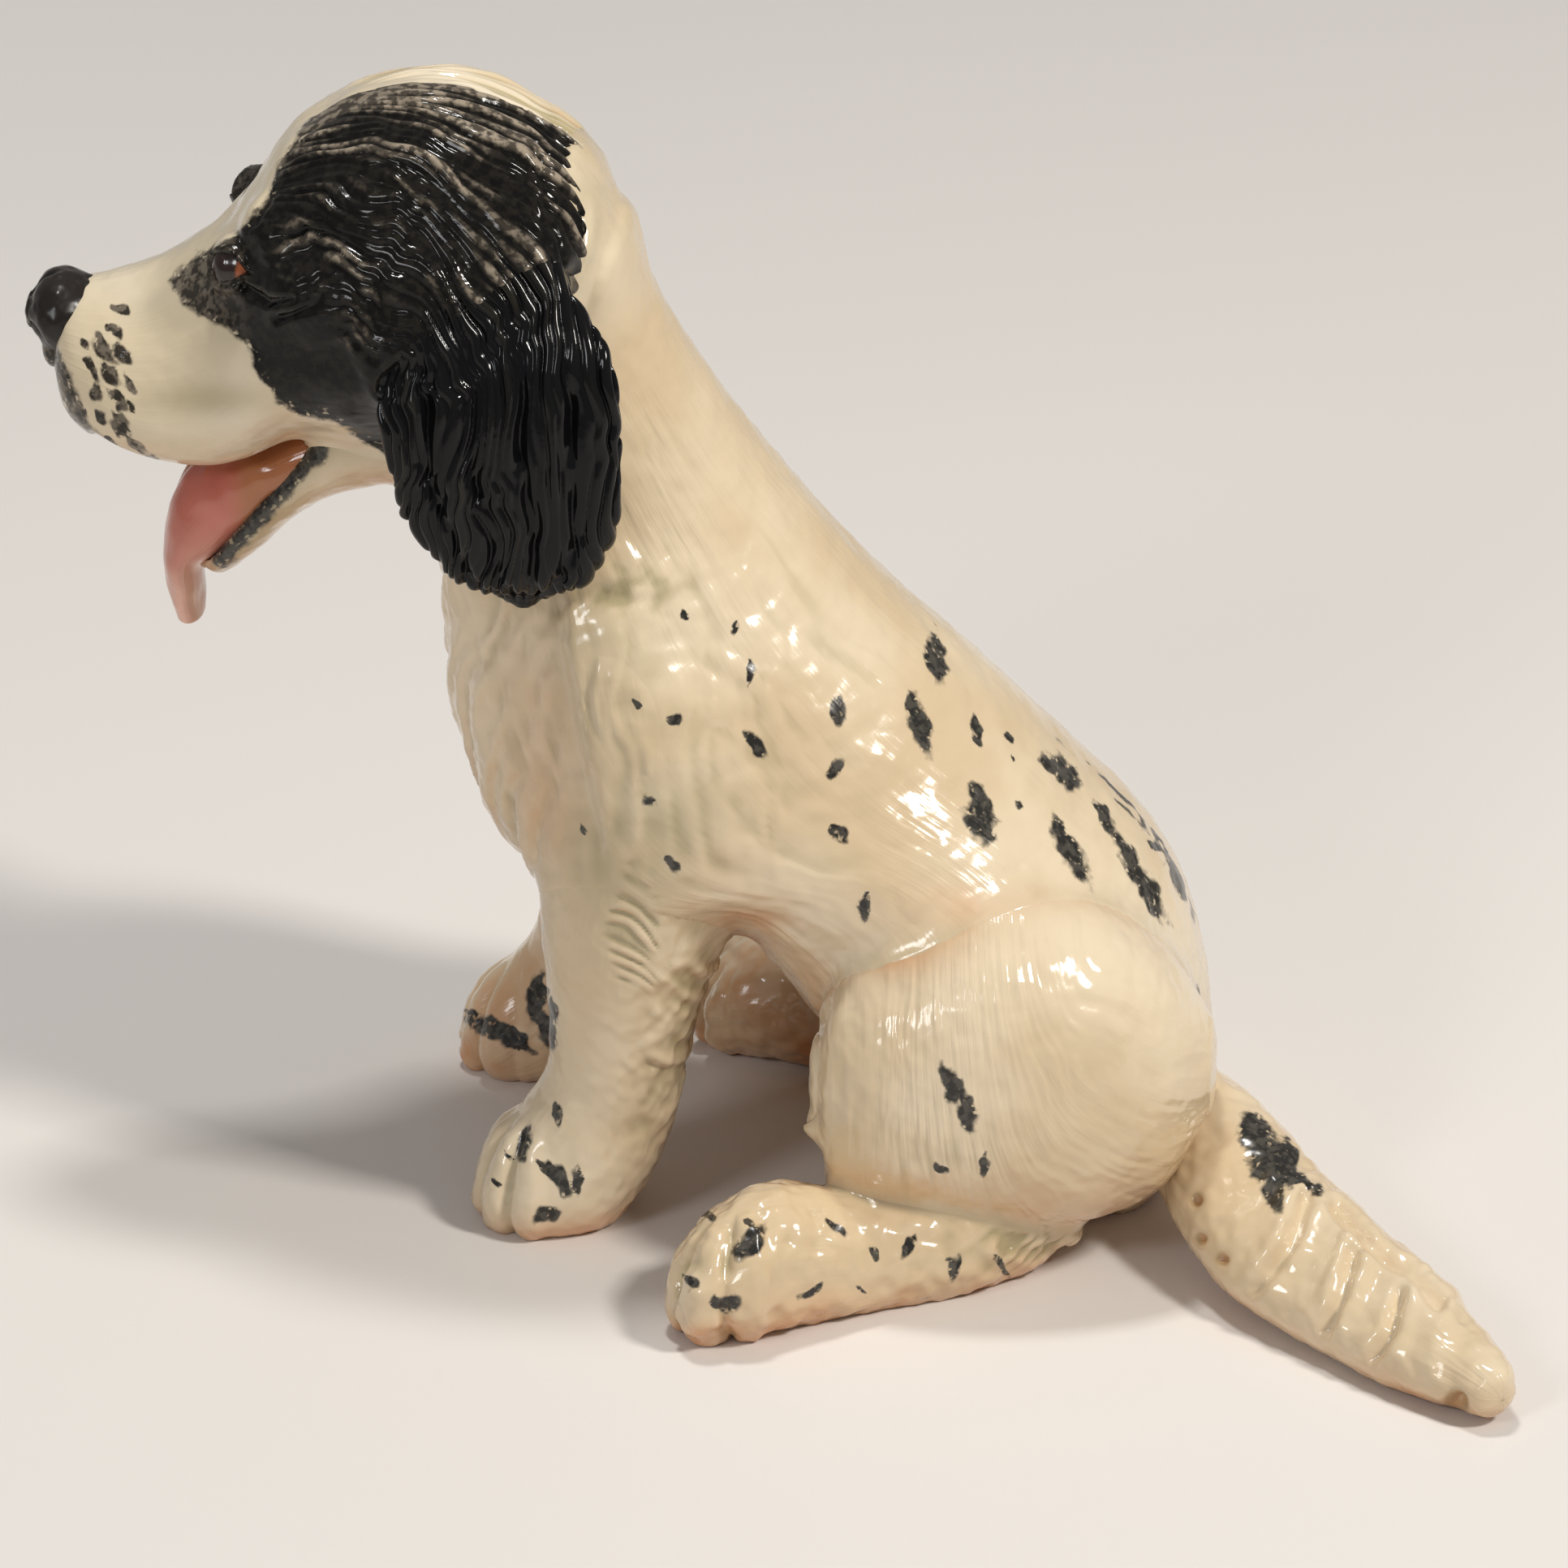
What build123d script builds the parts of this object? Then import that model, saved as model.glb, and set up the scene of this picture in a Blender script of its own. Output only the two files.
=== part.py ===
from build123d import *
import os

# Seated spaniel puppy, a hollow glazed ceramic ornament built from luted pieces.
# Frame: +Z up, nose towards -X, the puppy's left side towards -Y.
# The origin lies on the mid plane, on the flat face that the puppy sits on.
# Every length is in millimetres. Tables hold shares of the named sizes of their piece.

# Torso with the neck
torso_length = 96.0
torso_height = 125.0
torso_width = 56.0
rump_reach = 16.0

# Head, nose and eyes
head_length = 63.0
head_height = 47.0
head_width = 44.0
nose_length = 9.0
nose_width = 12.4
nose_height = 9.6
nostril_radius = 1.1
eye_radius = 3.4

# Open mouth
jaw_length = 25.0
jaw_drop = 19.0
jaw_width = 22.0
tongue_length = 30.0
tongue_drop = 24.0
tongue_width = 18.0

# Hanging ears: the right one hangs further forward than the left one
ear_length = 43.5
ear_width = 27.0
ear_thickness = 7.6
lock_radius = 0.9
right_ear_forward = 6.0

# Forelegs: the right one steps forward and stands wider than the left one
foreleg_height = 86.0
foreleg_depth = 33.0
foreleg_width = 24.5
right_paw_step = 6.0
right_paw_spread = 14.0

# Haunches and hind feet: the right side is tucked forward and inward
haunch_length = 45.0
haunch_height = 46.5
haunch_width = 29.0
right_haunch_tuck = 6.0
foot_length = 44.0
foot_height = 16.0
foot_width = 18.6
foot_splay = 19.0
right_foot_step = 3.0
right_foot_tuck = 6.0
toe_turn_degrees = 20.0

# Tail, swept round to the left on the ground
tail_reach = 42.0
tail_sweep = 56.0
tail_rise = 13.5
tail_width = 18.0
tail_thickness = 12.0
tail_roll_degrees = 25.0

# Hollow inside, vent under the seat and grooves between the toes
wall = 5.0
vent_radius = 2.5
toe_groove = 1.4
overrun = 20.0

# Torso rows, from the neck down to the seat:
# back point (x, z), front point (x, z), half width, level of the widest line
torso_shares = [
    (0.77, 1.00, 1.02, 0.90, 0.46, 0.50),
    (0.71, 0.93, 1.00, 0.83, 0.57, 0.50),
    (0.65, 0.85, 0.97, 0.74, 0.62, 0.50),
    (0.55, 0.74, 0.95, 0.61, 0.71, 0.50),
    (0.42, 0.62, 0.93, 0.48, 0.86, 0.50),
    (0.28, 0.52, 0.85, 0.34, 0.96, 0.50),
    (0.17, 0.43, 0.64, 0.32, 1.00, 0.50),
    (0.07, 0.35, 0.49, 0.19, 1.00, 0.50),
    (0.02, 0.26, 0.37, 0.09, 0.96, 0.50),
    (0.00, 0.15, 0.26, -0.01, 0.71, 0.50),
    (0.02, 0.06, 0.18, -0.04, 0.36, 0.50),
]
# The hollow follows these torso rows, from the open neck to a thick base
hollow_rows = slice(0, 9)
# Place of the vent, forward of the origin
vent_share = 0.05
# Place on the torso that the head is measured from
head_seat_shares = (0.855, 0.89)

# Head rows, from the muzzle's tip to the nape: top point, bottom point, half width, widest level
head_shares = [
    (0.85, -0.10, 0.85, -0.21, 0.14, 0.50),
    (0.82, 0.00, 0.82, -0.33, 0.36, 0.46),
    (0.75, 0.03, 0.75, -0.39, 0.50, 0.42),
    (0.65, 0.08, 0.66, -0.42, 0.58, 0.38),
    (0.56, 0.17, 0.56, -0.44, 0.66, 0.38),
    (0.49, 0.27, 0.48, -0.41, 0.77, 0.42),
    (0.40, 0.43, 0.38, -0.34, 0.91, 0.46),
    (0.27, 0.53, 0.25, -0.35, 1.00, 0.50),
    (0.13, 0.56, 0.11, -0.36, 1.00, 0.54),
    (0.00, 0.51, 0.00, -0.25, 0.91, 0.54),
    (-0.12, 0.40, -0.08, -0.11, 0.76, 0.52),
    (-0.19, 0.23, -0.13, 0.04, 0.45, 0.50),
]
# Places on the head: forward of the neck's end, above it, and out to the side
jaw_hinge_shares = (0.19, -0.34)
nose_shares = (0.83, -0.06)
eye_shares = (0.48, 0.16, 0.49)
ear_root_shares = (0.00, 0.36)
head_hollow_shares = (0.16, 0.19)
head_hollow_radius_shares = (0.21, 0.68, 0.21)
nostril_shares = (0.46, 0.40, 0.05)
# Mouth: place of its middle on the head, and its half length, half width and half height
mouth_shares = (0.52, -0.45)
mouth_radius_shares = (0.20, 0.42, 0.16)

# Jaw and tongue rows, from the hinge to the tip: top point, bottom point, half width, widest level
jaw_shares = [
    (0.08, 0.34, -0.08, -0.32, 1.00, 0.60),
    (0.40, 0.16, 0.28, -0.39, 1.00, 0.62),
    (0.64, -0.18, 0.52, -0.55, 0.91, 0.64),
    (0.83, -0.53, 0.73, -0.82, 0.77, 0.64),
    (0.95, -0.76, 0.88, -0.96, 0.59, 0.60),
    (1.00, -0.88, 0.96, -0.96, 0.27, 0.50),
]
tongue_shares = [
    (0.15, 0.24, 0.07, -0.12, 0.91, 0.50),
    (0.45, 0.10, 0.32, -0.28, 1.07, 0.55),
    (0.75, -0.08, 0.52, -0.47, 1.00, 0.55),
    (0.92, -0.31, 0.70, -0.65, 0.84, 0.50),
    (0.98, -0.58, 0.82, -0.74, 0.70, 0.50),
    (0.97, -0.82, 0.83, -0.88, 0.61, 0.50),
    (0.94, -1.01, 0.83, -1.01, 0.47, 0.50),
]

# Ear rows, from the root down: front point, back point, distance from the mid plane, half thickness
ear_shares = [
    (0.37, 0.04, 0.00, 0.07, 0.43, 0.37),
    (0.45, -0.09, -0.11, -0.05, 0.72, 0.66),
    (0.49, -0.23, -0.30, -0.17, 0.88, 0.82),
    (0.50, -0.44, -0.50, -0.34, 1.07, 0.92),
    (0.46, -0.64, -0.54, -0.57, 1.14, 1.00),
    (0.37, -0.80, -0.52, -0.79, 1.16, 1.00),
    (0.20, -0.93, -0.41, -0.93, 1.14, 0.89),
    (0.00, -1.00, -0.22, -1.00, 1.11, 0.53),
]
# Grooves between the ear's locks: places across the ear from back to front, and their sway at each row
lock_shares = (-0.60, -0.20, 0.20, 0.60)
lock_rows = slice(1, 8)
lock_sway_shares = (0.00, 0.06, -0.05, 0.06, -0.04, 0.06, 0.00)

# Foreleg rows, from the shoulder to the toes: front point, back point, distance out, half width
shoulder_share = 0.72
foreleg_shares = [
    (0.16, 1.00, -0.21, 0.95, 0.46, 0.64),
    (0.25, 0.90, -0.45, 0.79, 0.52, 0.96),
    (0.24, 0.77, -0.58, 0.63, 0.55, 1.00),
    (0.23, 0.63, -0.46, 0.52, 0.54, 0.94),
    (0.28, 0.48, -0.35, 0.40, 0.53, 0.85),
    (0.26, 0.34, -0.26, 0.29, 0.52, 0.70),
    (0.27, 0.23, -0.20, 0.17, 0.50, 0.65),
    (0.35, 0.17, -0.11, 0.07, 0.50, 0.69),
    (0.44, 0.13, 0.02, 0.00, 0.50, 0.74),
    (0.50, 0.08, 0.21, -0.02, 0.50, 0.69),
    (0.52, 0.03, 0.42, -0.01, 0.50, 0.41),
]
# Haunch rows, from the knee back to the rump: top point, bottom point, distance out, half width
haunch_shares = [
    (1.00, 0.65, 1.00, 0.43, 0.93, 0.34),
    (0.94, 0.80, 0.96, 0.24, 0.93, 0.62),
    (0.78, 0.92, 0.80, 0.20, 0.89, 0.86),
    (0.56, 1.00, 0.56, 0.16, 0.84, 1.00),
    (0.31, 0.97, 0.31, 0.14, 0.77, 0.97),
    (0.11, 0.82, 0.11, 0.22, 0.70, 0.79),
    (0.00, 0.65, 0.00, 0.39, 0.64, 0.41),
]

# Hind foot rows, from the heel to the toes: top point, bottom point, share of the splay, half width
heel_share = 0.36
heel_side_share = 0.79
foot_shares = [
    (0.00, 0.56, 0.00, 0.19, 0.00, 0.43),
    (0.11, 0.75, 0.09, 0.00, 0.08, 0.70),
    (0.27, 0.78, 0.27, -0.06, 0.32, 0.75),
    (0.47, 0.77, 0.47, -0.06, 0.54, 0.72),
    (0.62, 0.91, 0.62, -0.06, 0.70, 0.84),
    (0.77, 1.02, 0.78, -0.06, 0.85, 1.04),
    (0.92, 0.83, 0.93, -0.05, 0.95, 0.99),
    (1.00, 0.51, 1.00, 0.05, 0.99, 0.63),
]

# Grooves between the toes: places across the paw, depth back from the toes, and height up the paw
groove_shares = (-0.45, 0.00, 0.45)
groove_depth_share = 0.62
groove_height_share = 0.80

# Tail rows, from the rump to the tip: reach, sweep, rise, half width, half thickness
tail_root_share = 0.50
tail_shares = [
    (0.00, 0.05, 1.00, 0.67, 1.00),
    (0.17, 0.21, 0.89, 0.83, 1.00),
    (0.30, 0.39, 0.70, 0.98, 1.00),
    (0.43, 0.56, 0.56, 1.00, 0.92),
    (0.62, 0.71, 0.44, 0.91, 0.83),
    (0.80, 0.87, 0.37, 0.76, 0.75),
    (0.93, 0.99, 0.33, 0.50, 0.67),
    (1.00, 1.05, 0.30, 0.31, 0.47),
]

# Ends of the pieces that carry others
half_body = torso_width / 2
half_head = head_width / 2
neck_x = rump_reach - torso_length * head_seat_shares[0]
neck_z = torso_height * head_seat_shares[1]


def oval(upper, lower, side, half_width, level=0.5, inset=0):
    """Egg-shaped section through an upper and a lower point (x, z), widest at a level between them."""
    rise = Vector(upper[0] - lower[0], 0, upper[1] - lower[1])
    middle = Vector(lower[0], side, lower[1]) + rise * level
    plane = Plane(origin=middle, x_dir=rise, z_dir=rise.cross(Vector(0, 1, 0)))
    up = rise.length * (1 - level) - inset
    down = rise.length * level - inset
    across = half_width - inset
    radii = ((up, -90), (up, 0), (down, 90), (down, 180))
    arcs = [EllipticalCenterArc((0, 0), radius, across, start, arc_size=90) for radius, start in radii]
    return plane * make_face(arcs)


def above_ground(solid):
    """Cut a piece flat where it stands on the ground."""
    box = solid.bounding_box()
    ground = Pos(box.center().X, box.center().Y, 0) * Box(
        box.size.X + overrun, box.size.Y + overrun, overrun, align=(Align.CENTER, Align.CENTER, Align.MAX)
    )
    return solid - ground


def seat(piece, *carriers):
    """Trim a piece where its carriers stand, and keep the body that is left."""
    for carrier in carriers:
        piece = piece - carrier
    return max(piece.solids(), key=lambda solid: solid.volume)


def ball(radius_x, radius_y, radius_z):
    """Ellipsoid with its own radius along each axis."""
    return scale(Sphere(1), by=(radius_x, radius_y, radius_z))


def head_place(forward, above):
    """Point of the head, in shares forward of the neck's end and above it."""
    return (neck_x - head_length * forward, neck_z + head_height * above)


def torso_sections(rows, inset=0):
    """Sections of the torso, or of the hollow a wall inside it."""
    sections = []
    for back_x, back_z, front_x, front_z, width, level in rows:
        back = (rump_reach - torso_length * back_x, torso_height * back_z)
        front = (rump_reach - torso_length * front_x, torso_height * front_z)
        sections.append(oval(back, front, 0, half_body * width, level, inset))
    return sections


def torso_form():
    """Outer form of the torso, from the neck to the flat seat."""
    return above_ground(loft(torso_sections(torso_shares)))


def torso_hollow():
    """Hollow of the torso, open at the neck, with the vent through the seat."""
    rows = torso_shares[hollow_rows]
    sections = torso_sections(rows, wall)
    vent_top = torso_height * rows[-1][1]
    vent = Pos(-torso_length * vent_share, 0, 0) * Cylinder(
        vent_radius, vent_top, align=(Align.CENTER, Align.CENTER, Align.MIN)
    )
    return loft(sections) + vent


def head_form():
    """Outer form of the head: muzzle with its flews, stop, skull and nape."""
    sections = []
    for top_x, top_z, low_x, low_z, width, level in head_shares:
        top = head_place(top_x, top_z)
        low = head_place(low_x, low_z)
        sections.append(oval(top, low, 0, half_head * width, level))
    return loft(sections)


def head_hollow():
    """Egg-shaped hollow of the skull, open to the neck."""
    x, z = head_place(*head_hollow_shares)
    along, across, tall = head_hollow_radius_shares
    return Pos(x, 0, z) * ball(head_length * along, half_head * across, head_height * tall)


def mouth_form():
    """Open mouth under the muzzle, arched up into the palate."""
    x, z = head_place(*mouth_shares)
    along, across, tall = mouth_radius_shares
    return Pos(x, 0, z) * ball(head_length * along, half_head * across, head_height * tall)


def hinged_form(rows, length, drop, width):
    """Jaw or tongue, carried forward and down from the jaw's hinge."""
    hinge_x, hinge_z = head_place(*jaw_hinge_shares)
    sections = []
    for top_x, top_z, low_x, low_z, half, level in rows:
        top = (hinge_x - length * top_x, hinge_z + drop * top_z)
        low = (hinge_x - length * low_x, hinge_z + drop * low_z)
        sections.append(oval(top, low, 0, width / 2 * half, level))
    return loft(sections)


def nose_form():
    """Nose pad at the muzzle's tip, with a nostril on each side."""
    x, z = head_place(*nose_shares)
    pad = Pos(x, 0, z) * ball(nose_length / 2, nose_width / 2, nose_height / 2)
    forward, out, above = nostril_shares
    for side in (-1, 1):
        place = (x - nose_length * forward, side * nose_width / 2 * out, z + nose_height * above)
        pad = pad - Pos(*place) * Sphere(nostril_radius)
    return pad


def eye_form(side):
    """Eyeball, standing a little proud of the head."""
    x, z = head_place(*eye_shares[:2])
    return Pos(x, side * half_head * eye_shares[2], z) * Sphere(eye_radius)


def ear_form(side, forward):
    """Ear flap that hangs from high on the skull and stands off the neck."""
    root_x, root_z = head_place(*ear_root_shares)
    root_x = root_x - forward
    sections = []
    for front_x, front_z, back_x, back_z, out, thick in ear_shares:
        front = (root_x - ear_width * front_x, root_z + ear_length * front_z)
        back = (root_x - ear_width * back_x, root_z + ear_length * back_z)
        sections.append(oval(front, back, side * half_head * out, ear_thickness / 2 * thick))
    return loft(sections) - [ear_lock(side, share, root_x, root_z) for share in lock_shares]


def ear_lock(side, place, root_x, root_z):
    """Groove between two locks of hair, that winds down the ear's outer face."""
    points = []
    for row, sway in zip(ear_shares[lock_rows], lock_sway_shares):
        front_x, front_z, back_x, back_z, out, thick = row
        share = place + sway
        x = root_x - ear_width * (front_x + back_x + (front_x - back_x) * share) / 2
        z = root_z + ear_length * (front_z + back_z + (front_z - back_z) * share) / 2
        bulge = (1 - share**2) ** 0.5
        y = half_head * out + ear_thickness / 2 * thick * bulge
        points.append((x, side * y, z))
    line = Spline(*points)
    return sweep(Plane(origin=line @ 0, z_dir=line % 0) * Circle(lock_radius), path=line)


def toe_grooves(toe, width, height, turn):
    """Thin discs that part the toes, set in from the tip of a paw that is turned about Z."""
    paw = Pos(*toe) * Rot(0, 0, turn)
    disc = ball(width * groove_depth_share, toe_groove / 2, height * groove_height_share)
    return [paw * Pos(0, width / 2 * share, height / 2) * disc for share in groove_shares]


def foreleg_form(side, step, spread):
    """Foreleg with its paw. Step and spread move the paw, and fade out towards the shoulder."""
    shoulder_x = rump_reach - torso_length * shoulder_share
    sections = []
    for front_x, front_z, back_x, back_z, out, width in foreleg_shares:
        fade = 1 - front_z
        base = shoulder_x - step * fade
        front = (base - foreleg_depth * front_x, foreleg_height * front_z)
        back = (base - foreleg_depth * back_x, foreleg_height * back_z)
        distance = side * (half_body * out + spread * fade)
        sections.append(oval(front, back, distance, foreleg_width / 2 * width))
    toe = (front[0], distance, 0)
    paw_width = foreleg_width * foreleg_shares[-3][5]
    paw_height = foreleg_height * foreleg_shares[-3][1]
    leg = above_ground(loft(sections))
    return leg - toe_grooves(toe, paw_width, paw_height, 0)


def haunch_form(side, tuck):
    """Thigh of a hind leg, folded beside the rump."""
    sections = []
    for top_x, top_z, low_x, low_z, out, width in haunch_shares:
        top = (rump_reach - tuck - haunch_length * top_x, haunch_height * top_z)
        low = (rump_reach - tuck - haunch_length * low_x, haunch_height * low_z)
        sections.append(oval(top, low, side * half_body * out, haunch_width / 2 * width))
    return above_ground(loft(sections))


def foot_form(side, step, tuck):
    """Hind foot, flat on the ground, with its toes turned out."""
    heel_x = rump_reach - haunch_length * heel_share - step
    heel_y = half_body * heel_side_share - tuck
    sections = []
    for top_x, top_z, low_x, low_z, out, width in foot_shares:
        top = (heel_x - foot_length * top_x, foot_height * top_z)
        low = (heel_x - foot_length * low_x, foot_height * low_z)
        distance = side * (heel_y + foot_splay * out)
        sections.append(oval(top, low, distance, foot_width / 2 * width))
    toe = (top[0], distance, 0)
    turn = -side * toe_turn_degrees
    foot = above_ground(loft(sections))
    return foot - toe_grooves(toe, foot_width, foot_height * foot_shares[-2][1], turn)


def tail_form():
    """Feathered tail: a flattened leaf that sweeps round on the ground."""
    root_x = rump_reach * tail_root_share
    points = []
    for reach, across, rise in (row[:3] for row in tail_shares):
        points.append(Vector(root_x + tail_reach * reach, -tail_sweep * across, tail_rise * rise))
    sections = []
    for index, (width, thick) in enumerate(row[3:] for row in tail_shares):
        before = points[max(index - 1, 0)]
        after = points[min(index + 1, len(points) - 1)]
        run = after - before
        plane = Plane(origin=points[index], x_dir=run.cross(Vector(0, 0, 1)), z_dir=run)
        leaf = Ellipse(tail_width / 2 * width, tail_thickness / 2 * thick)
        sections.append(plane * Rot(0, 0, tail_roll_degrees) * leaf)
    return above_ground(loft(sections))


# Outer forms, before they are trimmed to each other
torso_outer = torso_form()
head_outer = head_form()
head_open = head_outer - mouth_form()
haunch_outer = {"left": haunch_form(-1, 0), "right": haunch_form(1, right_haunch_tuck)}
jaw_outer = hinged_form(jaw_shares, jaw_length, jaw_drop, jaw_width)
eyes = {"left": eye_form(-1), "right": eye_form(1)}
ears = {"left": ear_form(-1, 0), "right": ear_form(1, right_ear_forward)}
forelegs = {"left": foreleg_form(-1, 0, 0), "right": foreleg_form(1, right_paw_step, right_paw_spread)}

# Pieces, each trimmed by the larger ones that carry it
pieces = {}
pieces["torso"] = torso_outer - torso_hollow()
pieces["head"] = seat(head_open, torso_outer, eyes["left"], eyes["right"], head_hollow())
pieces["lower_jaw"] = seat(jaw_outer, head_open, torso_outer)
tongue = hinged_form(tongue_shares, tongue_length, tongue_drop, tongue_width)
pieces["tongue"] = seat(tongue, head_open, jaw_outer)
pieces["nose"] = seat(nose_form(), head_outer)
for name in ("left", "right"):
    pieces[name + "_eye"] = eyes[name]
    pieces[name + "_foreleg"] = seat(forelegs[name], torso_outer)
    pieces[name + "_ear"] = seat(ears[name], head_outer, torso_outer, forelegs[name])
    pieces[name + "_haunch"] = seat(haunch_outer[name], torso_outer)
left_foot = foot_form(-1, 0, 0)
right_foot = foot_form(1, right_foot_step, right_foot_tuck)
pieces["left_hind_foot"] = seat(left_foot, haunch_outer["left"], torso_outer)
pieces["right_hind_foot"] = seat(right_foot, haunch_outer["right"], torso_outer)
pieces["tail"] = seat(tail_form(), torso_outer, haunch_outer["left"], left_foot)

os.makedirs("parts", exist_ok=True)
for node, solid in pieces.items():
    export_step(solid, os.path.join("parts", node + ".step"))
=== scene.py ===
"""Seated spaniel puppy in glazed ceramic, dressed over its fixed frame.

Every piece of clay is a closed skin of oval sections, worked out in millimetres in the frame's own axes:
x runs from the nose (minus) to the tail (plus), y from the puppy's left (minus) to its right, z up from the seat.
"""
import logging
from dataclasses import dataclass, field
from enum import Enum
from typing import Callable, ClassVar, Union

import bpy
import numpy as np
from mathutils import Matrix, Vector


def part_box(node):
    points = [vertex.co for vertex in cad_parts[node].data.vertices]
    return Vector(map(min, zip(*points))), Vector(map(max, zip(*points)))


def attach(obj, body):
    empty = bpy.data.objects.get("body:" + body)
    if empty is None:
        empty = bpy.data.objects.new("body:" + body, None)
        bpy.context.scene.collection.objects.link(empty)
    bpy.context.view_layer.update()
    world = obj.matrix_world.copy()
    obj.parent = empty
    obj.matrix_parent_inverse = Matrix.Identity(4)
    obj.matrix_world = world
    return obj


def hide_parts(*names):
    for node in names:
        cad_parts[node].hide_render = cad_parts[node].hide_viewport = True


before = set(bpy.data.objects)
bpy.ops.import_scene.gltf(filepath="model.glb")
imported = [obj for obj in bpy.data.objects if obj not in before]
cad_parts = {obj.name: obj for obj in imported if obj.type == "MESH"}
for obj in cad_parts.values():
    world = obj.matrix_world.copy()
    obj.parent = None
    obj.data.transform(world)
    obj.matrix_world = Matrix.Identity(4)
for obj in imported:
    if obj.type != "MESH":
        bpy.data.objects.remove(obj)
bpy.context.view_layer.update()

Array = np.ndarray
Rows = tuple[tuple[float, ...], ...]
Line = tuple[tuple[float, float], ...]
Tone = tuple[float, float, float]
Place = tuple[float, float, float]
Value = Union[bpy.types.NodeSocket, float]
LOG = logging.getLogger("puppy")

# Metres in a millimetre
MM = 0.001
# Sections of a form that joints are worked out from, and those that the rings of a skin are read from
FIELD_STATIONS, PATH_STATIONS = 72, 400
# Places whose clearance is worked out at once
CHUNK = 30000
# Rounds in which a skin is laid on the union of forms, and the step of the lower piece beside a seam
WELD_ROUNDS, SEAM_STEP = 3, 0.06
# Rings on a dome against those on as much path, the fewest on it, and the angle of the first from the pole
DOME_RINGS, LEAST_RINGS, POLE_ANGLE = 1.3, 6, 0.04
# Level of a section's widest line where its row gives none
MID_LEVEL = 0.5
# Average height of round strands
STRAND_MEAN = 0.62
# Distance that keeps a skin free of brushed paint, and the value of a place without a dab
UNPAINTED, NO_DAB = -9.0, -1.0
# Multipliers and word of the lattice's hash
AXIS_PRIMES, SEED_PRIME, MIX_PRIME, WORD = (374761393, 668265263, 2147483647), 974634777, 1274126177, 0xFFFFFFFF


class Side(Enum):
    """The puppy's own left and right, as the sign of y."""

    LEFT = -1
    RIGHT = 1


class Glaze(Enum):
    """The record's finishes."""

    CREAM = "cream_glaze"
    HEAD = "head_glaze"
    BLACK = "black_glaze"
    NOSE = "nose_glaze"
    TONGUE = "tongue_glaze"
    EYE = "eye_glaze"


def smooth(low: float, high: float, value: Array) -> Array:
    """Ease from 0 at low to 1 at high by the cubic 3t^2 - 2t^3.

    Args:
        low: Value that gives 0.
        high: Value that gives 1.
        value: Values to ease.

    Returns:
        The eased values.
    """
    t = np.clip((value - low) / (high - low), 0.0, 1.0)
    return t * t * (3.0 - 2.0 * t)


def hill(points: Array, centre: tuple[float, ...], radii: tuple[float, ...]) -> Array:
    """Rounded hill, the Gaussian exp(-d^2) of the distance from a centre in radii.

    Args:
        points: Places, in millimetres.
        centre: Top of the hill.
        radii: Reach of the hill along each axis.

    Returns:
        Height of the hill, from 0 to 1.
    """
    d = (points[..., :len(centre)] - np.asarray(centre)) / np.asarray(radii)
    return np.exp(-np.sum(d * d, axis=-1))


def lattice(x: Array, y: Array, z: Array, seed: int) -> Array:
    """Hashed value of whole-number lattice points, from -1 to 1.

    Args:
        x: Whole numbers.
        y: Whole numbers.
        z: Whole numbers.
        seed: Seed of the pattern.

    Returns:
        One value for each lattice point.
    """
    h = sum(c.astype(np.int64) * prime for c, prime in zip((x, y, z), AXIS_PRIMES))
    h = (h + seed * SEED_PRIME) & WORD
    h = ((h ^ (h >> 13)) * MIX_PRIME) & WORD
    h = h ^ (h >> 16)
    return (h & 0xFFFFFF) / float(0x7FFFFF) - 1.0


def noise(x: Array, y: Array, z: Array | float, seed: int) -> Array:
    """Value noise: hashed lattice values, blended between the eight corners of a cell by an eased weight.

    Args:
        x: First coordinate, in cells.
        y: Second coordinate, in cells.
        z: Third coordinate, in cells.
        seed: Seed of the pattern.

    Returns:
        Noise from -1 to 1.
    """
    fx, fy, fz = np.floor(x), np.floor(y), np.floor(z)
    wx, wy, wz = (smooth(0.0, 1.0, c - f) for c, f in ((x, fx), (y, fy), (z, fz)))
    total = np.zeros(np.broadcast(x, y, z).shape)
    for i, j, k in np.ndindex(2, 2, 2):
        weight = (wx if i else 1 - wx) * (wy if j else 1 - wy) * (wz if k else 1 - wz)
        total = total + weight * lattice(fx + i, fy + j, fz + k, seed)
    return total


def grain(points: Array, cell: float | tuple[float, float, float], seed: int) -> Array:
    """Noise over places themselves: their coordinates are divided by the size of a cell.

    Args:
        points: Grid of places, in millimetres.
        cell: Size of a cell, or its size along each axis.
        seed: Seed of the pattern.

    Returns:
        Noise from -1 to 1.
    """
    return noise(*(points / np.asarray(cell, float)).transpose(2, 0, 1), seed)


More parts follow.
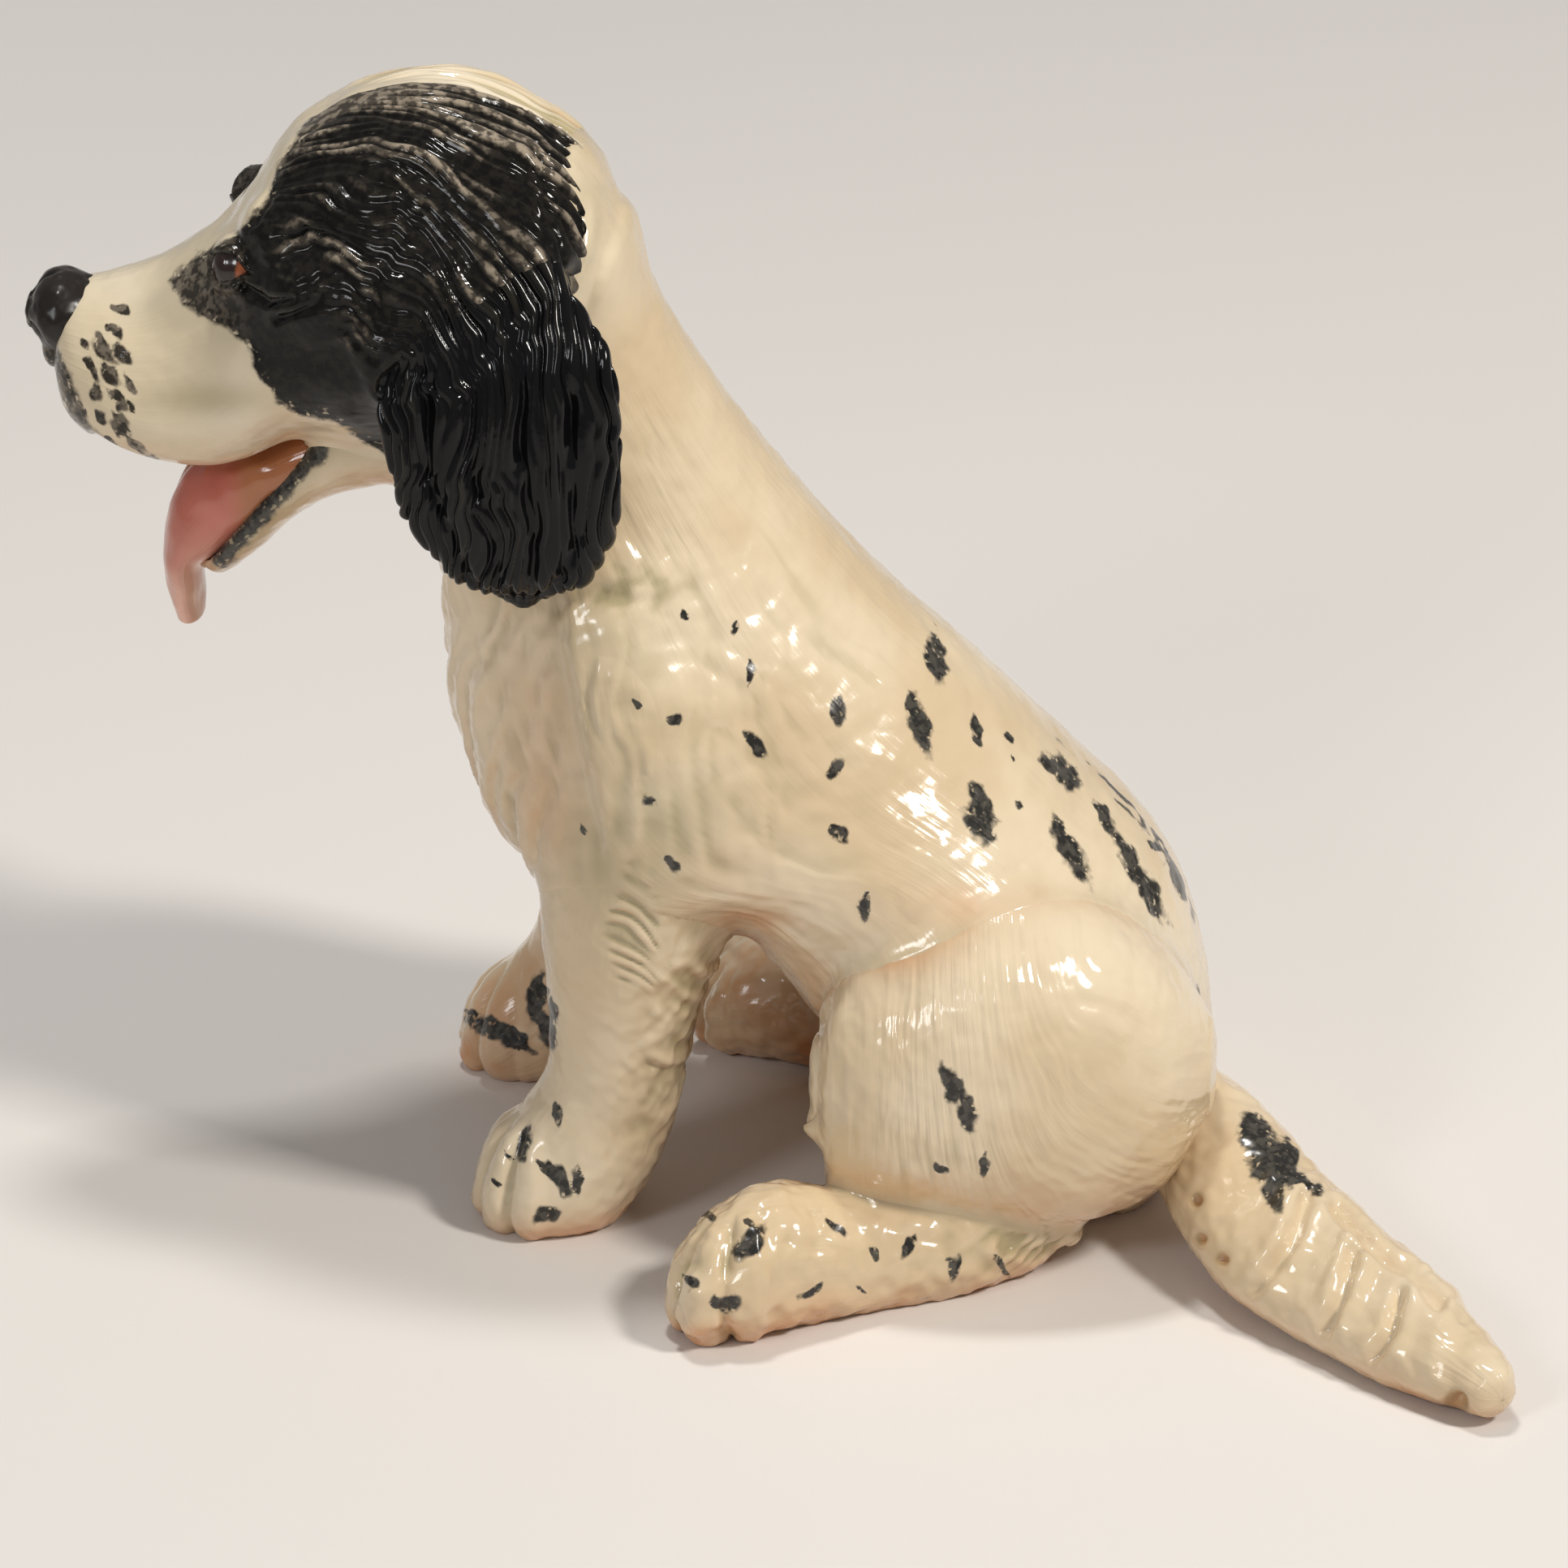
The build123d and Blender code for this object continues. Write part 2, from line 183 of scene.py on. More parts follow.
def through(rows: Rows, shares: Array) -> Array:
    """Catmull-Rom curve through rows of numbers, spaced by how far their first four numbers move.

    Args:
        rows: Numbers of each station.
        shares: Places along the curve, from 0 to 1.

    Returns:
        One row of numbers for each place.
    """
    p = np.asarray(rows, float)
    step = np.maximum(np.linalg.norm(np.diff(p[:, :4], axis=0), axis=1), 1e-3)
    t = np.concatenate([[0.0], np.cumsum(step)])
    slope = np.empty_like(p)
    slope[1:-1] = (p[2:] - p[:-2]) / (t[2:] - t[:-2])[:, None]
    slope[0] = (p[1] - p[0]) / step[0]
    slope[-1] = (p[-1] - p[-2]) / step[-1]
    s = np.clip(shares, 0.0, 1.0) * t[-1]
    i = np.clip(np.searchsorted(t, s, side="right") - 1, 0, len(step) - 1)
    w = step[i][:, None]
    u = ((s - t[i]) / step[i])[:, None]
    near = (1 + 2 * u) * (1 - u) ** 2 * p[i] + u * (1 - u) ** 2 * w * slope[i]
    far = u * u * (3 - 2 * u) * p[i + 1] + u * u * (u - 1) * w * slope[i + 1]
    return near + far


def unit(vectors: Array) -> Array:
    """Vectors of length 1 in the same directions."""
    return vectors / np.maximum(np.linalg.norm(vectors, axis=-1, keepdims=True), 1e-12)


@dataclass
class Picture:
    """The photograph's view: a point of the frame, in millimetres, falls on a pixel of its 1932 pixel square."""

    turn_degrees: float = 4.0
    tilt_degrees: float = 25.0
    distance: float = 1200.0
    pixels_per_mm: float = 10.3
    origin: tuple[float, float] = (1325.0, 1447.0)
    size: float = 1932.0

    def axes(self) -> tuple[Array, Array, Array]:
        """Unit vectors to the right, up and into the picture."""
        a, e = np.radians(self.turn_degrees), np.radians(self.tilt_degrees)
        right = np.array([np.cos(a), np.sin(a), 0.0])
        into = np.array([-np.sin(a) * np.cos(e), np.cos(a) * np.cos(e), -np.sin(e)])
        return right, np.cross(right, into), into

    def target(self) -> Array:
        """Point of the frame in the middle of the picture."""
        right, up, _ = self.axes()
        middle = self.size / 2
        across = (middle - self.origin[0]) / self.pixels_per_mm
        return right * across - up * (middle - self.origin[1]) / self.pixels_per_mm

    def pixels(self, points: Array) -> Array:
        """Perspective view: offsets right and up of the target, scaled by distance over depth.

        Args:
            points: Places in the frame, in millimetres.

        Returns:
            Pixel across and pixel down of each place.
        """
        right, up, into = self.axes()
        offset = points - self.target()
        scale = self.pixels_per_mm * self.distance / (self.distance + offset @ into)
        return np.stack([self.size / 2 + scale * (offset @ right), self.size / 2 - scale * (offset @ up)], -1)


PICTURE = Picture()


@dataclass(frozen=True)
class Form:
    """Rounded form: egg-shaped sections carried along a path, with a dome on each end.

    A section has a middle, a rise direction with its own reach upwards and downwards, and a side direction.
    """

    middle: Array
    rise: Array
    side: Array
    upper: Array
    lower: Array
    half: Array
    domes: tuple[float, float]

    @classmethod
    def from_pairs(cls, rows: Rows, shares: Array, domes: tuple[float, float]) -> "Form":
        """Sections between an upper and a lower point of the mid plane.

        Args:
            rows: Upper x and z, lower x and z, side y, half width, and level of the widest line if not midway.
            shares: Places along the path.
            domes: Reach of the dome at each end.

        Returns:
            The form.
        """
        q = through(tuple((*row, MID_LEVEL)[:7] for row in rows), shares)
        zero = np.zeros(len(q))
        low = np.column_stack([q[:, 2], q[:, 4], q[:, 3]])
        rise = np.column_stack([q[:, 0] - q[:, 2], zero, q[:, 1] - q[:, 3]])
        tall = np.linalg.norm(rise, axis=1)
        side = np.tile([0.0, 1.0, 0.0], (len(q), 1))
        middle = low + rise * q[:, 6:7]
        return cls(middle, unit(rise), side, tall * (1 - q[:, 6]), tall * q[:, 6], q[:, 5], domes)

    @classmethod
    def from_path(cls, rows: Rows, shares: Array, domes: tuple[float, float], roll_degrees: float) -> "Form":
        """Sections square to a path, rolled about it.

        Args:
            rows: Place x, y, z, half width and half thickness.
            shares: Places along the path.
            domes: Reach of the dome at each end.
            roll_degrees: Turn of the sections about the path.

        Returns:
            The form.
        """
        q = through(rows, shares)
        run = unit(np.gradient(q[:, :3], axis=0))
        level = unit(np.cross(run, [0.0, 0.0, 1.0]))
        upright = np.cross(level, run) * -1.0
        roll = np.radians(roll_degrees)
        rise = level * np.cos(roll) - upright * np.sin(roll)
        return cls(q[:, :3], rise, np.cross(run, rise), q[:, 3], q[:, 3], q[:, 4], domes)

    def axis(self) -> Array:
        """Unit vectors square to the sections, pointing along the path."""
        n = np.cross(self.rise, self.side)
        run = np.gradient(self.middle, axis=0)
        return n * np.sign(np.sum(n * run, axis=1).sum())

    def clearance(self, points: Array) -> Array:
        """Estimated distance from the form, negative inside.

        The section whose plane holds the place is found between two stations, and the distance from its egg is
        the first-order one: rho (rho - 1) over the slope of rho, where rho is the share of the way out to the egg.

        Args:
            points: Places, in millimetres.

        Returns:
            Distance of each place.
        """
        starts = range(0, len(points), CHUNK)
        return np.concatenate([self._clearance(points[i:i + CHUNK]) for i in starts])

    def _clearance(self, points: Array) -> Array:
        """Distance of a chunk of places, as clearance says."""
        n = self.axis()
        gap = points @ n.T - np.sum(self.middle * n, axis=1)
        far = -2 * points @ self.middle.T + np.sum(self.middle ** 2, axis=1)
        crossed = (gap[:, :-1] >= 0) & (gap[:, 1:] < 0)
        place = np.argmin(np.where(crossed, far[:, :-1] + far[:, 1:], 1e12), axis=1)
        row = np.arange(len(points))
        found = crossed[row, place]
        ahead = gap[row, place]
        span = ahead - gap[row, place + 1]
        end = np.where(far[:, 0] < far[:, -1], 0.0, 1.0)
        place = np.where(found, place, np.where(end > 0, gap.shape[1] - 2, 0))
        share = np.where(found, ahead / np.where(found, span, 1.0), end)[:, None]
        past = np.where(found, 0.0, np.where(end > 0, gap[:, -1], -gap[:, 0]))
        dome = np.where(end > 0, self.domes[1], self.domes[0])

        def at(values: Array) -> Array:
            """Values of the form at the section through each place."""
            return values[place] * (1 - share) + values[place + 1] * share

        offset = points - at(self.middle)
        p = np.sum(offset * at(self.rise), axis=1)
        q = np.sum(offset * at(self.side), axis=1)
        up, down, half = (at(v[:, None])[:, 0] for v in (self.upper, self.lower, self.half))
        h = np.where(p > 0, up, down)
        past = np.maximum(past, 0.0)
        rho = np.sqrt((p / h) ** 2 + (q / half) ** 2 + (past / dome) ** 2)
        slope = np.sqrt((p / h ** 2) ** 2 + (q / half ** 2) ** 2 + (past / dome ** 2) ** 2)
        core = -0.7 * np.minimum(h, half)
        return np.where(rho > 0.3, rho * (rho - 1) / np.maximum(slope, 1e-6), core)


Joints = list[tuple[Form, float, float]]


@dataclass
class Skin:
    """Grid of places over a form: rings along the path, and places around each ring."""

    points: Array
    along: Array
    turn: Array
    rise: Array
    out: Array
    flip: float = 1.0
    groove: Array = field(default_factory=lambda: np.zeros(1))
    seam: Array = field(default_factory=lambda: np.zeros(1))
    across: Array | None = None
    lengthwise: Array | None = None

    def normals(self) -> Array:
        """Outward unit normals: the cross product of the differences along and around the grid."""
        p = self.points
        around = np.roll(p, -1, axis=1) - np.roll(p, 1, axis=1)
        return unit(np.cross(around, np.gradient(p, axis=0))) * self.flip

    def push(self, height: Array) -> None:
        """Move every place along its normal by a height in millimetres."""
        self.points = self.points + self.normals() * height[..., None]

    def comb(self, height: Array) -> None:
        """Push strokes into the skin, and keep how deep they are for the glaze to pool in."""
        self.push(height)
        self.groove = self.groove + height

    def mirrored(self) -> Array:
        """The places, with those of the right side taken to the left side."""
        return self.points * [1, 0, 1] - np.abs(self.points) * [0, 1, 0]


def skin_of(form_at: Callable[[Array], Form], along: int, around: int, domes: tuple[float, float],
            crowding: float) -> Skin:
    """Places over a form: middle + rise cos(turn) reach + side sin(turn) half, shrunk over the two domes.

    Args:
        form_at: Function that gives the form at places along its path.
        along: Number of rings.
        around: Number of places on a ring.
        domes: Reach of the dome at each end.
        crowding: How much closer places lie on the upper side of a ring, as a share of their even distance.

    Returns:
        The skin.
    """
    probe = form_at(np.linspace(0, 1, PATH_STATIONS // 2))
    length = np.linalg.norm(np.diff(probe.middle, axis=0), axis=1).sum()
    total = domes[0] * DOME_RINGS + length + domes[1] * DOME_RINGS
    first, last = (max(LEAST_RINGS, int(along * dome * DOME_RINGS / total)) for dome in domes)
    body = along - first - last
    angle = np.concatenate([
        np.linspace(POLE_ANGLE, np.pi / 2, first, endpoint=False), np.full(body, np.pi / 2),
        np.linspace(np.pi / 2, POLE_ANGLE, last + 1)[1:]])
    shares = np.concatenate([np.zeros(first), np.linspace(0, 1, body), np.ones(last)])
    form = form_at(np.linspace(0, 1, PATH_STATIONS))
    pick = shares * (PATH_STATIONS - 1)
    lower = np.minimum(pick.astype(int), PATH_STATIONS - 2)
    part = (pick - lower)[:, None]

    def at(values: Array) -> Array:
        """Values of the form at the rings."""
        v = values if values.ndim > 1 else values[:, None]
        return v[lower] * (1 - part) + v[lower + 1] * part

    axis = at(form.axis())
    ends = np.concatenate([np.full(first, -domes[0]), np.zeros(body), np.full(last, domes[1])])[:, None]
    middle = at(form.middle) + axis * ends * np.cos(angle)[:, None]
    even = np.linspace(0, 2 * np.pi, around, endpoint=False)[None, :]
    turn = even - crowding * np.sin(even)
    c, s = np.cos(turn), np.sin(turn)
    shrink = np.sin(angle)[:, None]
    rise = np.where(c > 0, at(form.upper), at(form.lower)) * c * shrink
    out = at(form.half) * s * shrink
    points = middle[:, None] + at(form.rise)[:, None] * rise[..., None]
    points = points + at(form.side)[:, None] * out[..., None]
    run = np.concatenate([[0.0], np.cumsum(np.linalg.norm(np.diff(middle, axis=0), axis=1))])
    skin = Skin(points, run[:, None] + 0 * c, turn + 0 * run[:, None], rise, out)
    facing = np.sum((points - middle[:, None]) * skin.normals(), axis=-1)
    skin.flip = float(np.sign(facing[first:-last].mean()))
    skin.groove = np.zeros(points.shape[:2])
    skin.seam = np.zeros(points.shape[:2])
    return skin


def weld(skin: Skin, own: Form, neighbours: Joints, sink: float, share: Array) -> None:
    """Lay a skin on the smooth union of its form and its neighbours, and sink what lies inside them.

    The union of two distances a and b is min(a, b) - h^2 reach / 4 with h = 1 - |a - b| / reach, at least 0.
    Each place moves along its normal until the union's distance is 0.

    Args:
        skin: The skin to change.
        own: Its own form.
        neighbours: Forms that it meets, each joint's reach, and how far this piece runs on past the seam.
        sink: Most that a place may sink.
        share: How much each place takes part in the joints, from 0 to 1.
    """
    shape = skin.points.shape[:2]
    flat = skin.points.reshape(-1, 3)
    normal = skin.normals().reshape(-1, 3)
    boxes = []
    for form, reach, _ in neighbours:
        size = np.maximum(np.maximum(form.upper, form.lower), form.half)[:, None]
        low = (form.middle - size).min(axis=0) - reach - max(form.domes)
        high = (form.middle + size).max(axis=0) + reach + max(form.domes)
        boxes.append(np.all((flat > low) & (flat < high), axis=1))
    near = np.nonzero(np.any(boxes, axis=0))[0] if boxes else np.zeros(0, int)
    if not len(near):
        return
    height = np.zeros(len(near))
    for _ in range(WELD_ROUNDS):
        place = flat[near] + normal[near] * height[:, None]
        mine = own.clearance(place)
        union = mine.copy()
        joint, seam, under = np.zeros((3, len(near)))
        gap = np.full(len(near), 1e3)
        for (form, reach, lead), box in zip(neighbours, boxes):
            part = np.nonzero(box[near])[0]
            theirs = form.clearance(place[part])
            blend = np.clip(1 - np.abs(union[part] - theirs) / reach, 0, 1)
            ahead = theirs - mine[part] + lead
            gap[part] = np.minimum(gap[part], ahead)
            seam[part] = np.maximum(seam[part], np.clip(1 - np.abs(ahead) / reach, 0, 1))
            under[part] = np.maximum(under[part], smooth(2.0, 0.5, ahead) * (lead < 0))
            union[part] = np.minimum(union[part], theirs) - blend ** 2 * reach / 4
            joint[part] = np.maximum(joint[part], blend)
        height = np.clip(height - union, -sink, max(reach for _, reach, _ in neighbours))
    share = share.ravel()[near]
    dive = smooth(-0.5, -6.0, gap) * share
    moved, close = np.zeros(len(flat)), np.zeros(len(flat))
    laid = height * smooth(0.0, 0.3, joint * share) * (1 - dive)
    moved[near] = laid - sink * dive - SEAM_STEP * under * share
    close[near] = seam * share
    skin.points = skin.points + (normal * moved[:, None]).reshape(*shape, 3)
    skin.seam = close.reshape(shape)


def strands(across: Array, along: Array, width: float, waver: float, seed: int, bevel: float = 0.5) -> Array:
    """Combed strands that wander and swell: a rounded ridge over each width, with a narrow groove between.

    Args:
        across: Coordinate across the strands, in millimetres.
        along: Coordinate along the strands, in millimetres.
        width: Width of a strand.
        waver: How far a strand wanders, in widths.
        seed: Seed of the pattern.
        bevel: Power of the ridge's outline: 0.5 is round with a sharp groove, 1 is a parabola.

    Returns:
        Height from 0 in the grooves to 1 on the boldest ridges.
    """
    drift = noise(across / (4 * width), along / (9 * width), 0.0, seed)
    drift = drift + 0.4 * noise(across / (2 * width), along / (4 * width), 5.0, seed)
    phase = across / width + waver * drift
    lock = np.floor(phase)
    ridge = 1 - (2 * (phase - lock) - 1) ** 2
    bold = 0.65 + 0.35 * noise(lock * 3.17, along / (5 * width), 0.0, seed + 1)
    return ridge ** bevel * bold


def streaks(across: Array, along: Array, width: float, run: float, seed: int) -> Array:
    """Faint combing: lattice noise that is fine across the strokes and long along them, from -1 to 1.

    Args:
        across: Coordinate across the strokes, in millimetres.
        along: Coordinate along the strokes, in millimetres.
        width: Width of a stroke.
        run: Length of a stroke.
        seed: Seed of the pattern.

    Returns:
        Height of the strokes.
    """
    bend = noise(across / (6 * width), along / run, 0.0, seed + 3)
    return noise(across / width + 1.5 * bend, along / run, 0.0, seed)


def spot_field(pixels: Array, spots: Rows) -> Array:
    """Painted dabs: 1 less the elliptic distance from each dab's middle, in its half length and half width.

    Every dab has a smaller lobe beside it, and noise of a few pixels breaks its outline.

    Args:
        pixels: Places in the picture.
        spots: Across, down, half length, half width and slant in degrees of each dab.

    Returns:
        Largest of the dabs' values, from -1 up to 1.
    """
    cells = pixels[..., 0] / 11, pixels[..., 1] / 11
    across, down = (pixels[..., k] + 4.0 * noise(*cells, 3.0 * k, 71) for k in (0, 1))
    best = np.full(across.shape, NO_DAB)
    for x, y, length, width, slant in spots:
        a = np.radians(slant)
        run = ((across - x) * np.cos(a) + (down - y) * np.sin(a)) / length
        wide = ((down - y) * np.cos(a) - (across - x) * np.sin(a)) / width
        lobe = np.sin(x * 1.7 + y) * 0.55
        first = 1 - np.sqrt((run - 0.15) ** 2 + (wide - 0.3 * lobe) ** 2)
        second = 1 - np.sqrt(((run + 0.45) / 0.75) ** 2 + ((wide + lobe) / 0.6) ** 2)
        best = np.maximum(best, np.maximum(first, second))
    return best


def tint_field(pixels: Array, tints: Rows) -> Array:
    """Soft patches of tint: the sum of a Gaussian exp(-d^2) for each patch.

    Args:
        pixels: Places in the picture.
        tints: Across, down, half width, half height and strength of each patch.

    Returns:
        Strength at each place.
    """
    total = np.zeros(pixels.shape[:-1])
    for x, y, wide, tall, strength in tints:
        total += strength * hill(pixels, (x, y), (wide, tall))
    return total


def line_distance(pixels: Array, corners: Line, closed: bool) -> Array:
    """Distance in pixels from a line through corners, negative inside where the line is closed.

    Args:
        pixels: Places in the picture.
        corners: Corners of the line.
        closed: Whether the line is a closed outline.

    Returns:
        Distance of each place.
    """
    c = np.asarray(corners, float)
    ends = np.roll(c, -1, axis=0) if closed else c[1:]
    best = np.full(pixels.shape[:-1], 1e9)
    inside = np.zeros(pixels.shape[:-1], bool)
    x, y = pixels[..., 0], pixels[..., 1]
    for (ax, ay), (bx, by) in zip(c, ends):
        dx, dy = bx - ax, by - ay
        t = np.clip(((x - ax) * dx + (y - ay) * dy) / (dx * dx + dy * dy), 0, 1)
        best = np.minimum(best, np.hypot(x - ax - t * dx, y - ay - t * dy))
        if closed and dy != 0:
            inside ^= ((ay > y) != (by > y)) & (x < ax + (y - ay) * dx / dy)
    return np.where(inside, -best, best)


def drawn_groove(pixels: Array, corners: Line, width: float) -> Array:
    """Groove along a line drawn in the picture: the Gaussian of the distance from the line.

    Args:
        pixels: Places in the picture.
        corners: Corners of the line.
        width: Half width of the groove, in millimetres.

    Returns:
        Depth from 0 to 1.
    """
    return np.exp(-(line_distance(pixels, corners, False) / PICTURE.pixels_per_mm / width) ** 2)


def mesh_of(name: str, skin: Skin, paint: dict[str, Array]) -> bpy.types.Object:
    """Closed mesh of a skin: quads between the rings and a fan of triangles on each pole.

    Args:
        name: Name of the piece.
        skin: The skin.
        paint: Values over the skin, kept as attributes for the glaze.

    Returns:
        The new object, at the origin, in metres.
    """
    rings, around = skin.points.shape[:2]
    poles = np.stack([skin.points[0].mean(axis=0), skin.points[-1].mean(axis=0)])
    places = np.concatenate([skin.points.reshape(-1, 3), poles]) * MM
    index = np.arange(rings * around).reshape(rings, around)
    after = np.roll(index, -1, axis=1)
    quads = np.stack([index[:-1], after[:-1], after[1:], index[1:]], -1).reshape(-1, 4)
    top, tail = rings * around, rings * around + 1
    first = np.stack([np.full(around, top), after[0], index[0]], -1)
    last = np.stack([np.full(around, tail), index[-1], after[-1]], -1)
    fans = np.concatenate([first, last])
    if skin.flip < 0:
        quads, fans = quads[:, ::-1], fans[:, ::-1]
    corners = np.concatenate([quads.ravel(), fans.ravel()]).astype(np.int32)
    sizes = np.concatenate([np.full(len(quads), 4), np.full(len(fans), 3)])
    starts = np.concatenate([[0], np.cumsum(sizes)[:-1]]).astype(np.int32)
    mesh = bpy.data.meshes.new(name)
    mesh.vertices.add(len(places))
    mesh.vertices.foreach_set("co", places.astype(np.float32).ravel())
    mesh.loops.add(len(corners))
    mesh.loops.foreach_set("vertex_index", corners)
    mesh.polygons.add(len(starts))
    mesh.polygons.foreach_set("loop_start", starts)
    mesh.update(calc_edges=True)
    mesh.polygons.foreach_set("use_smooth", np.ones(len(starts), bool))
    for label, values in paint.items():
        ends = np.array([values[0].mean(), values[-1].mean()])
        layer = mesh.attributes.new(label, "FLOAT", "POINT")
        layer.data.foreach_set("value", np.concatenate([values.ravel(), ends]).astype(np.float32))
    made = bpy.data.objects.new(name, mesh)
    bpy.context.scene.collection.objects.link(made)
    return made


@dataclass
class Nodes:
    """Short hand for a node tree: adds nodes and links their sockets."""

    tree: bpy.types.NodeTree

    def add(self, kind: str, inputs: dict | None = None, **settings: object) -> bpy.types.Node:
        """Add a node.

        Args:
            kind: Node type.
            inputs: Sockets by name or number, with a value or another socket for each.
            settings: Properties of the node.

        Returns:
            The node.
        """
        node = self.tree.nodes.new(kind)
        for key, value in settings.items():
            setattr(node, key, value)
        for key, value in (inputs or {}).items():
            if isinstance(value, bpy.types.NodeSocket):
                self.tree.links.new(value, node.inputs[key])
            else:
                node.inputs[key].default_value = value
        return node

    def link(self, source: bpy.types.NodeSocket, target: bpy.types.NodeSocket) -> None:
        """Link a socket to another."""
        self.tree.links.new(source, target)

    def math(self, operation: str, *values: Value) -> bpy.types.NodeSocket:
        """Arithmetic on values or sockets."""
        return self.add("ShaderNodeMath", dict(enumerate(values)), operation=operation).outputs[0]

    def times(self, first: Value, second: Value) -> bpy.types.NodeSocket:
        """Product of two values or sockets."""
        return self.math("MULTIPLY", first, second)

    def plus(self, first: Value, second: Value) -> bpy.types.NodeSocket:
        """Sum of two values or sockets."""
        return self.math("ADD", first, second)

    def minus(self, first: Value, second: Value) -> bpy.types.NodeSocket:
        """First less second of two values or sockets."""
        return self.math("SUBTRACT", first, second)

    def blend(self, share: Value, first: object, second: object) -> bpy.types.NodeSocket:
        """Mix two colours by a share."""
        node = self.add("ShaderNodeMix", {0: share, 6: first, 7: second}, data_type="RGBA")
        return node.outputs[2]

    def ease(self, value: Value, low: float, high: float) -> bpy.types.NodeSocket:
        """Ease a value from 0 at low to 1 at high."""
        inputs = {"Value": value, "From Min": low, "From Max": high}
        return self.add("ShaderNodeMapRange", inputs, interpolation_type="SMOOTHSTEP").outputs[0]

    def attribute(self, name: str) -> bpy.types.NodeSocket:
        """Value that the mesh carries."""
        return self.add("ShaderNodeAttribute", attribute_name=name).outputs["Fac"]

    def speckle(self, scale: float, detail: float = 2.0,
                vector: bpy.types.NodeSocket | None = None) -> bpy.types.NodeSocket:
        """Noise over a vector, or over the piece's own coordinates, from 0 to 1.

        Args:
            scale: Cells to a unit of the vector.
            detail: Octaves of the noise.
            vector: What it is laid over; none stands for the piece's coordinates, turned out of its axes.

        Returns:
            The noise.
        """
        if vector is None:
            own = self.add("ShaderNodeTexCoord").outputs["Object"]
            vector = self.add("ShaderNodeMapping", {"Vector": own, "Rotation": (0.55, 0.75, 0.35)}).outputs[0]
        return self.add("ShaderNodeTexNoise", {"Vector": vector, "Scale": scale, "Detail": detail}).outputs[0]


def group_of(name: str, inputs: dict[str, str],
             outputs: dict[str, str]) -> tuple[bpy.types.NodeTree, Nodes, dict, dict]:
    """New shader node group with named sockets.

    Args:
        name: Name of the group.
        inputs: Socket type of each input.
        outputs: Socket type of each output.

    Returns:
        The group, its short hand, its input sockets and the sockets that its outputs are linked to.
    """
    tree = bpy.data.node_groups.new(name, "ShaderNodeTree")
    for label, kind in inputs.items():
        tree.interface.new_socket(name=label, in_out="INPUT", socket_type=kind)
    for label, kind in outputs.items():
        tree.interface.new_socket(name=label, in_out="OUTPUT", socket_type=kind)
    nodes = Nodes(tree)
    given = nodes.add("NodeGroupInput")
    put = nodes.add("NodeGroupOutput")
    return tree, nodes, {k: given.outputs[k] for k in inputs}, {k: put.inputs[k] for k in outputs}


COLOUR, VALUE = "NodeSocketColor", "NodeSocketFloat"


def pooled_glaze_group() -> bpy.types.NodeTree:
    """Glaze that thins over ridges, pools in grooves and joints, and drifts in tone over the piece."""
    inputs = dict.fromkeys(("Body", "Light", "Pool", "Clay", "Thin"), COLOUR)
    inputs |= dict.fromkeys(("Groove", "Seam", "Tint_and_shade"), VALUE)
    outputs = {"Color": COLOUR, "Roughness": VALUE, "Height": VALUE}
    tree, n, given, put = group_of("pooled_glaze", inputs, outputs)
    drift = n.ease(n.speckle(38.0, 3.0), 0.35, 0.68)
    tone = n.blend(drift, given["Body"], given["Light"])
    deep = n.ease(n.times(given["Groove"], -1.0), 0.02, 0.30)
    blotch = n.ease(n.speckle(120.0, 3.0), 0.35, 0.70)
    worn = n.times(n.ease(given["Groove"], 0.10, 0.34), 0.45)
    pooled = n.blend(n.times(deep, 0.75), n.blend(worn, tone, given["Thin"]), given["Pool"])
    gathered = n.plus(n.times(blotch, 0.30), 0.08)
    joint = n.times(n.math("POWER", given["Seam"], 2.0), gathered)
    jointed = n.blend(joint, pooled, given["Pool"])
    # The tint and shade value lays the clay tone: real tints such as pinholes and a pale tongue tip, and painted warm
    # shade under and between the pieces
    warm = n.times(given["Tint_and_shade"], n.plus(n.times(blotch, 0.6), 0.4))
    bare = n.blend(warm, jointed, given["Clay"])
    pin = n.ease(n.speckle(1500.0, 1.0), 0.80, 0.86)
    n.link(n.blend(n.times(pin, 0.35), bare, given["Clay"]), put["Color"])
    rough = n.plus(n.times(blotch, 0.10), n.plus(n.times(warm, 0.12), 0.12))
    n.link(rough, put["Roughness"])
    broad, fine = n.times(n.speckle(260.0), 0.7), n.times(n.speckle(800.0), 0.18)
    n.link(n.plus(broad, fine), put["Height"])
    return tree


def combing_group() -> bpy.types.NodeTree:
    """Fine combed strokes: noise that is fine across the strokes and long along them."""
    inputs = {"Across": VALUE, "Along": VALUE, "Strength": VALUE}
    tree, n, given, put = group_of("fine_combing", inputs, {"Height": VALUE})
    shares = {0: n.times(given["Across"], 0.9), 1: n.times(given["Along"], 0.07)}
    stroke = n.speckle(1.0, vector=n.add("ShaderNodeCombineXYZ", shares).outputs[0])
    n.link(n.times(n.minus(stroke, 0.5), given["Strength"]), put["Height"])
    return tree


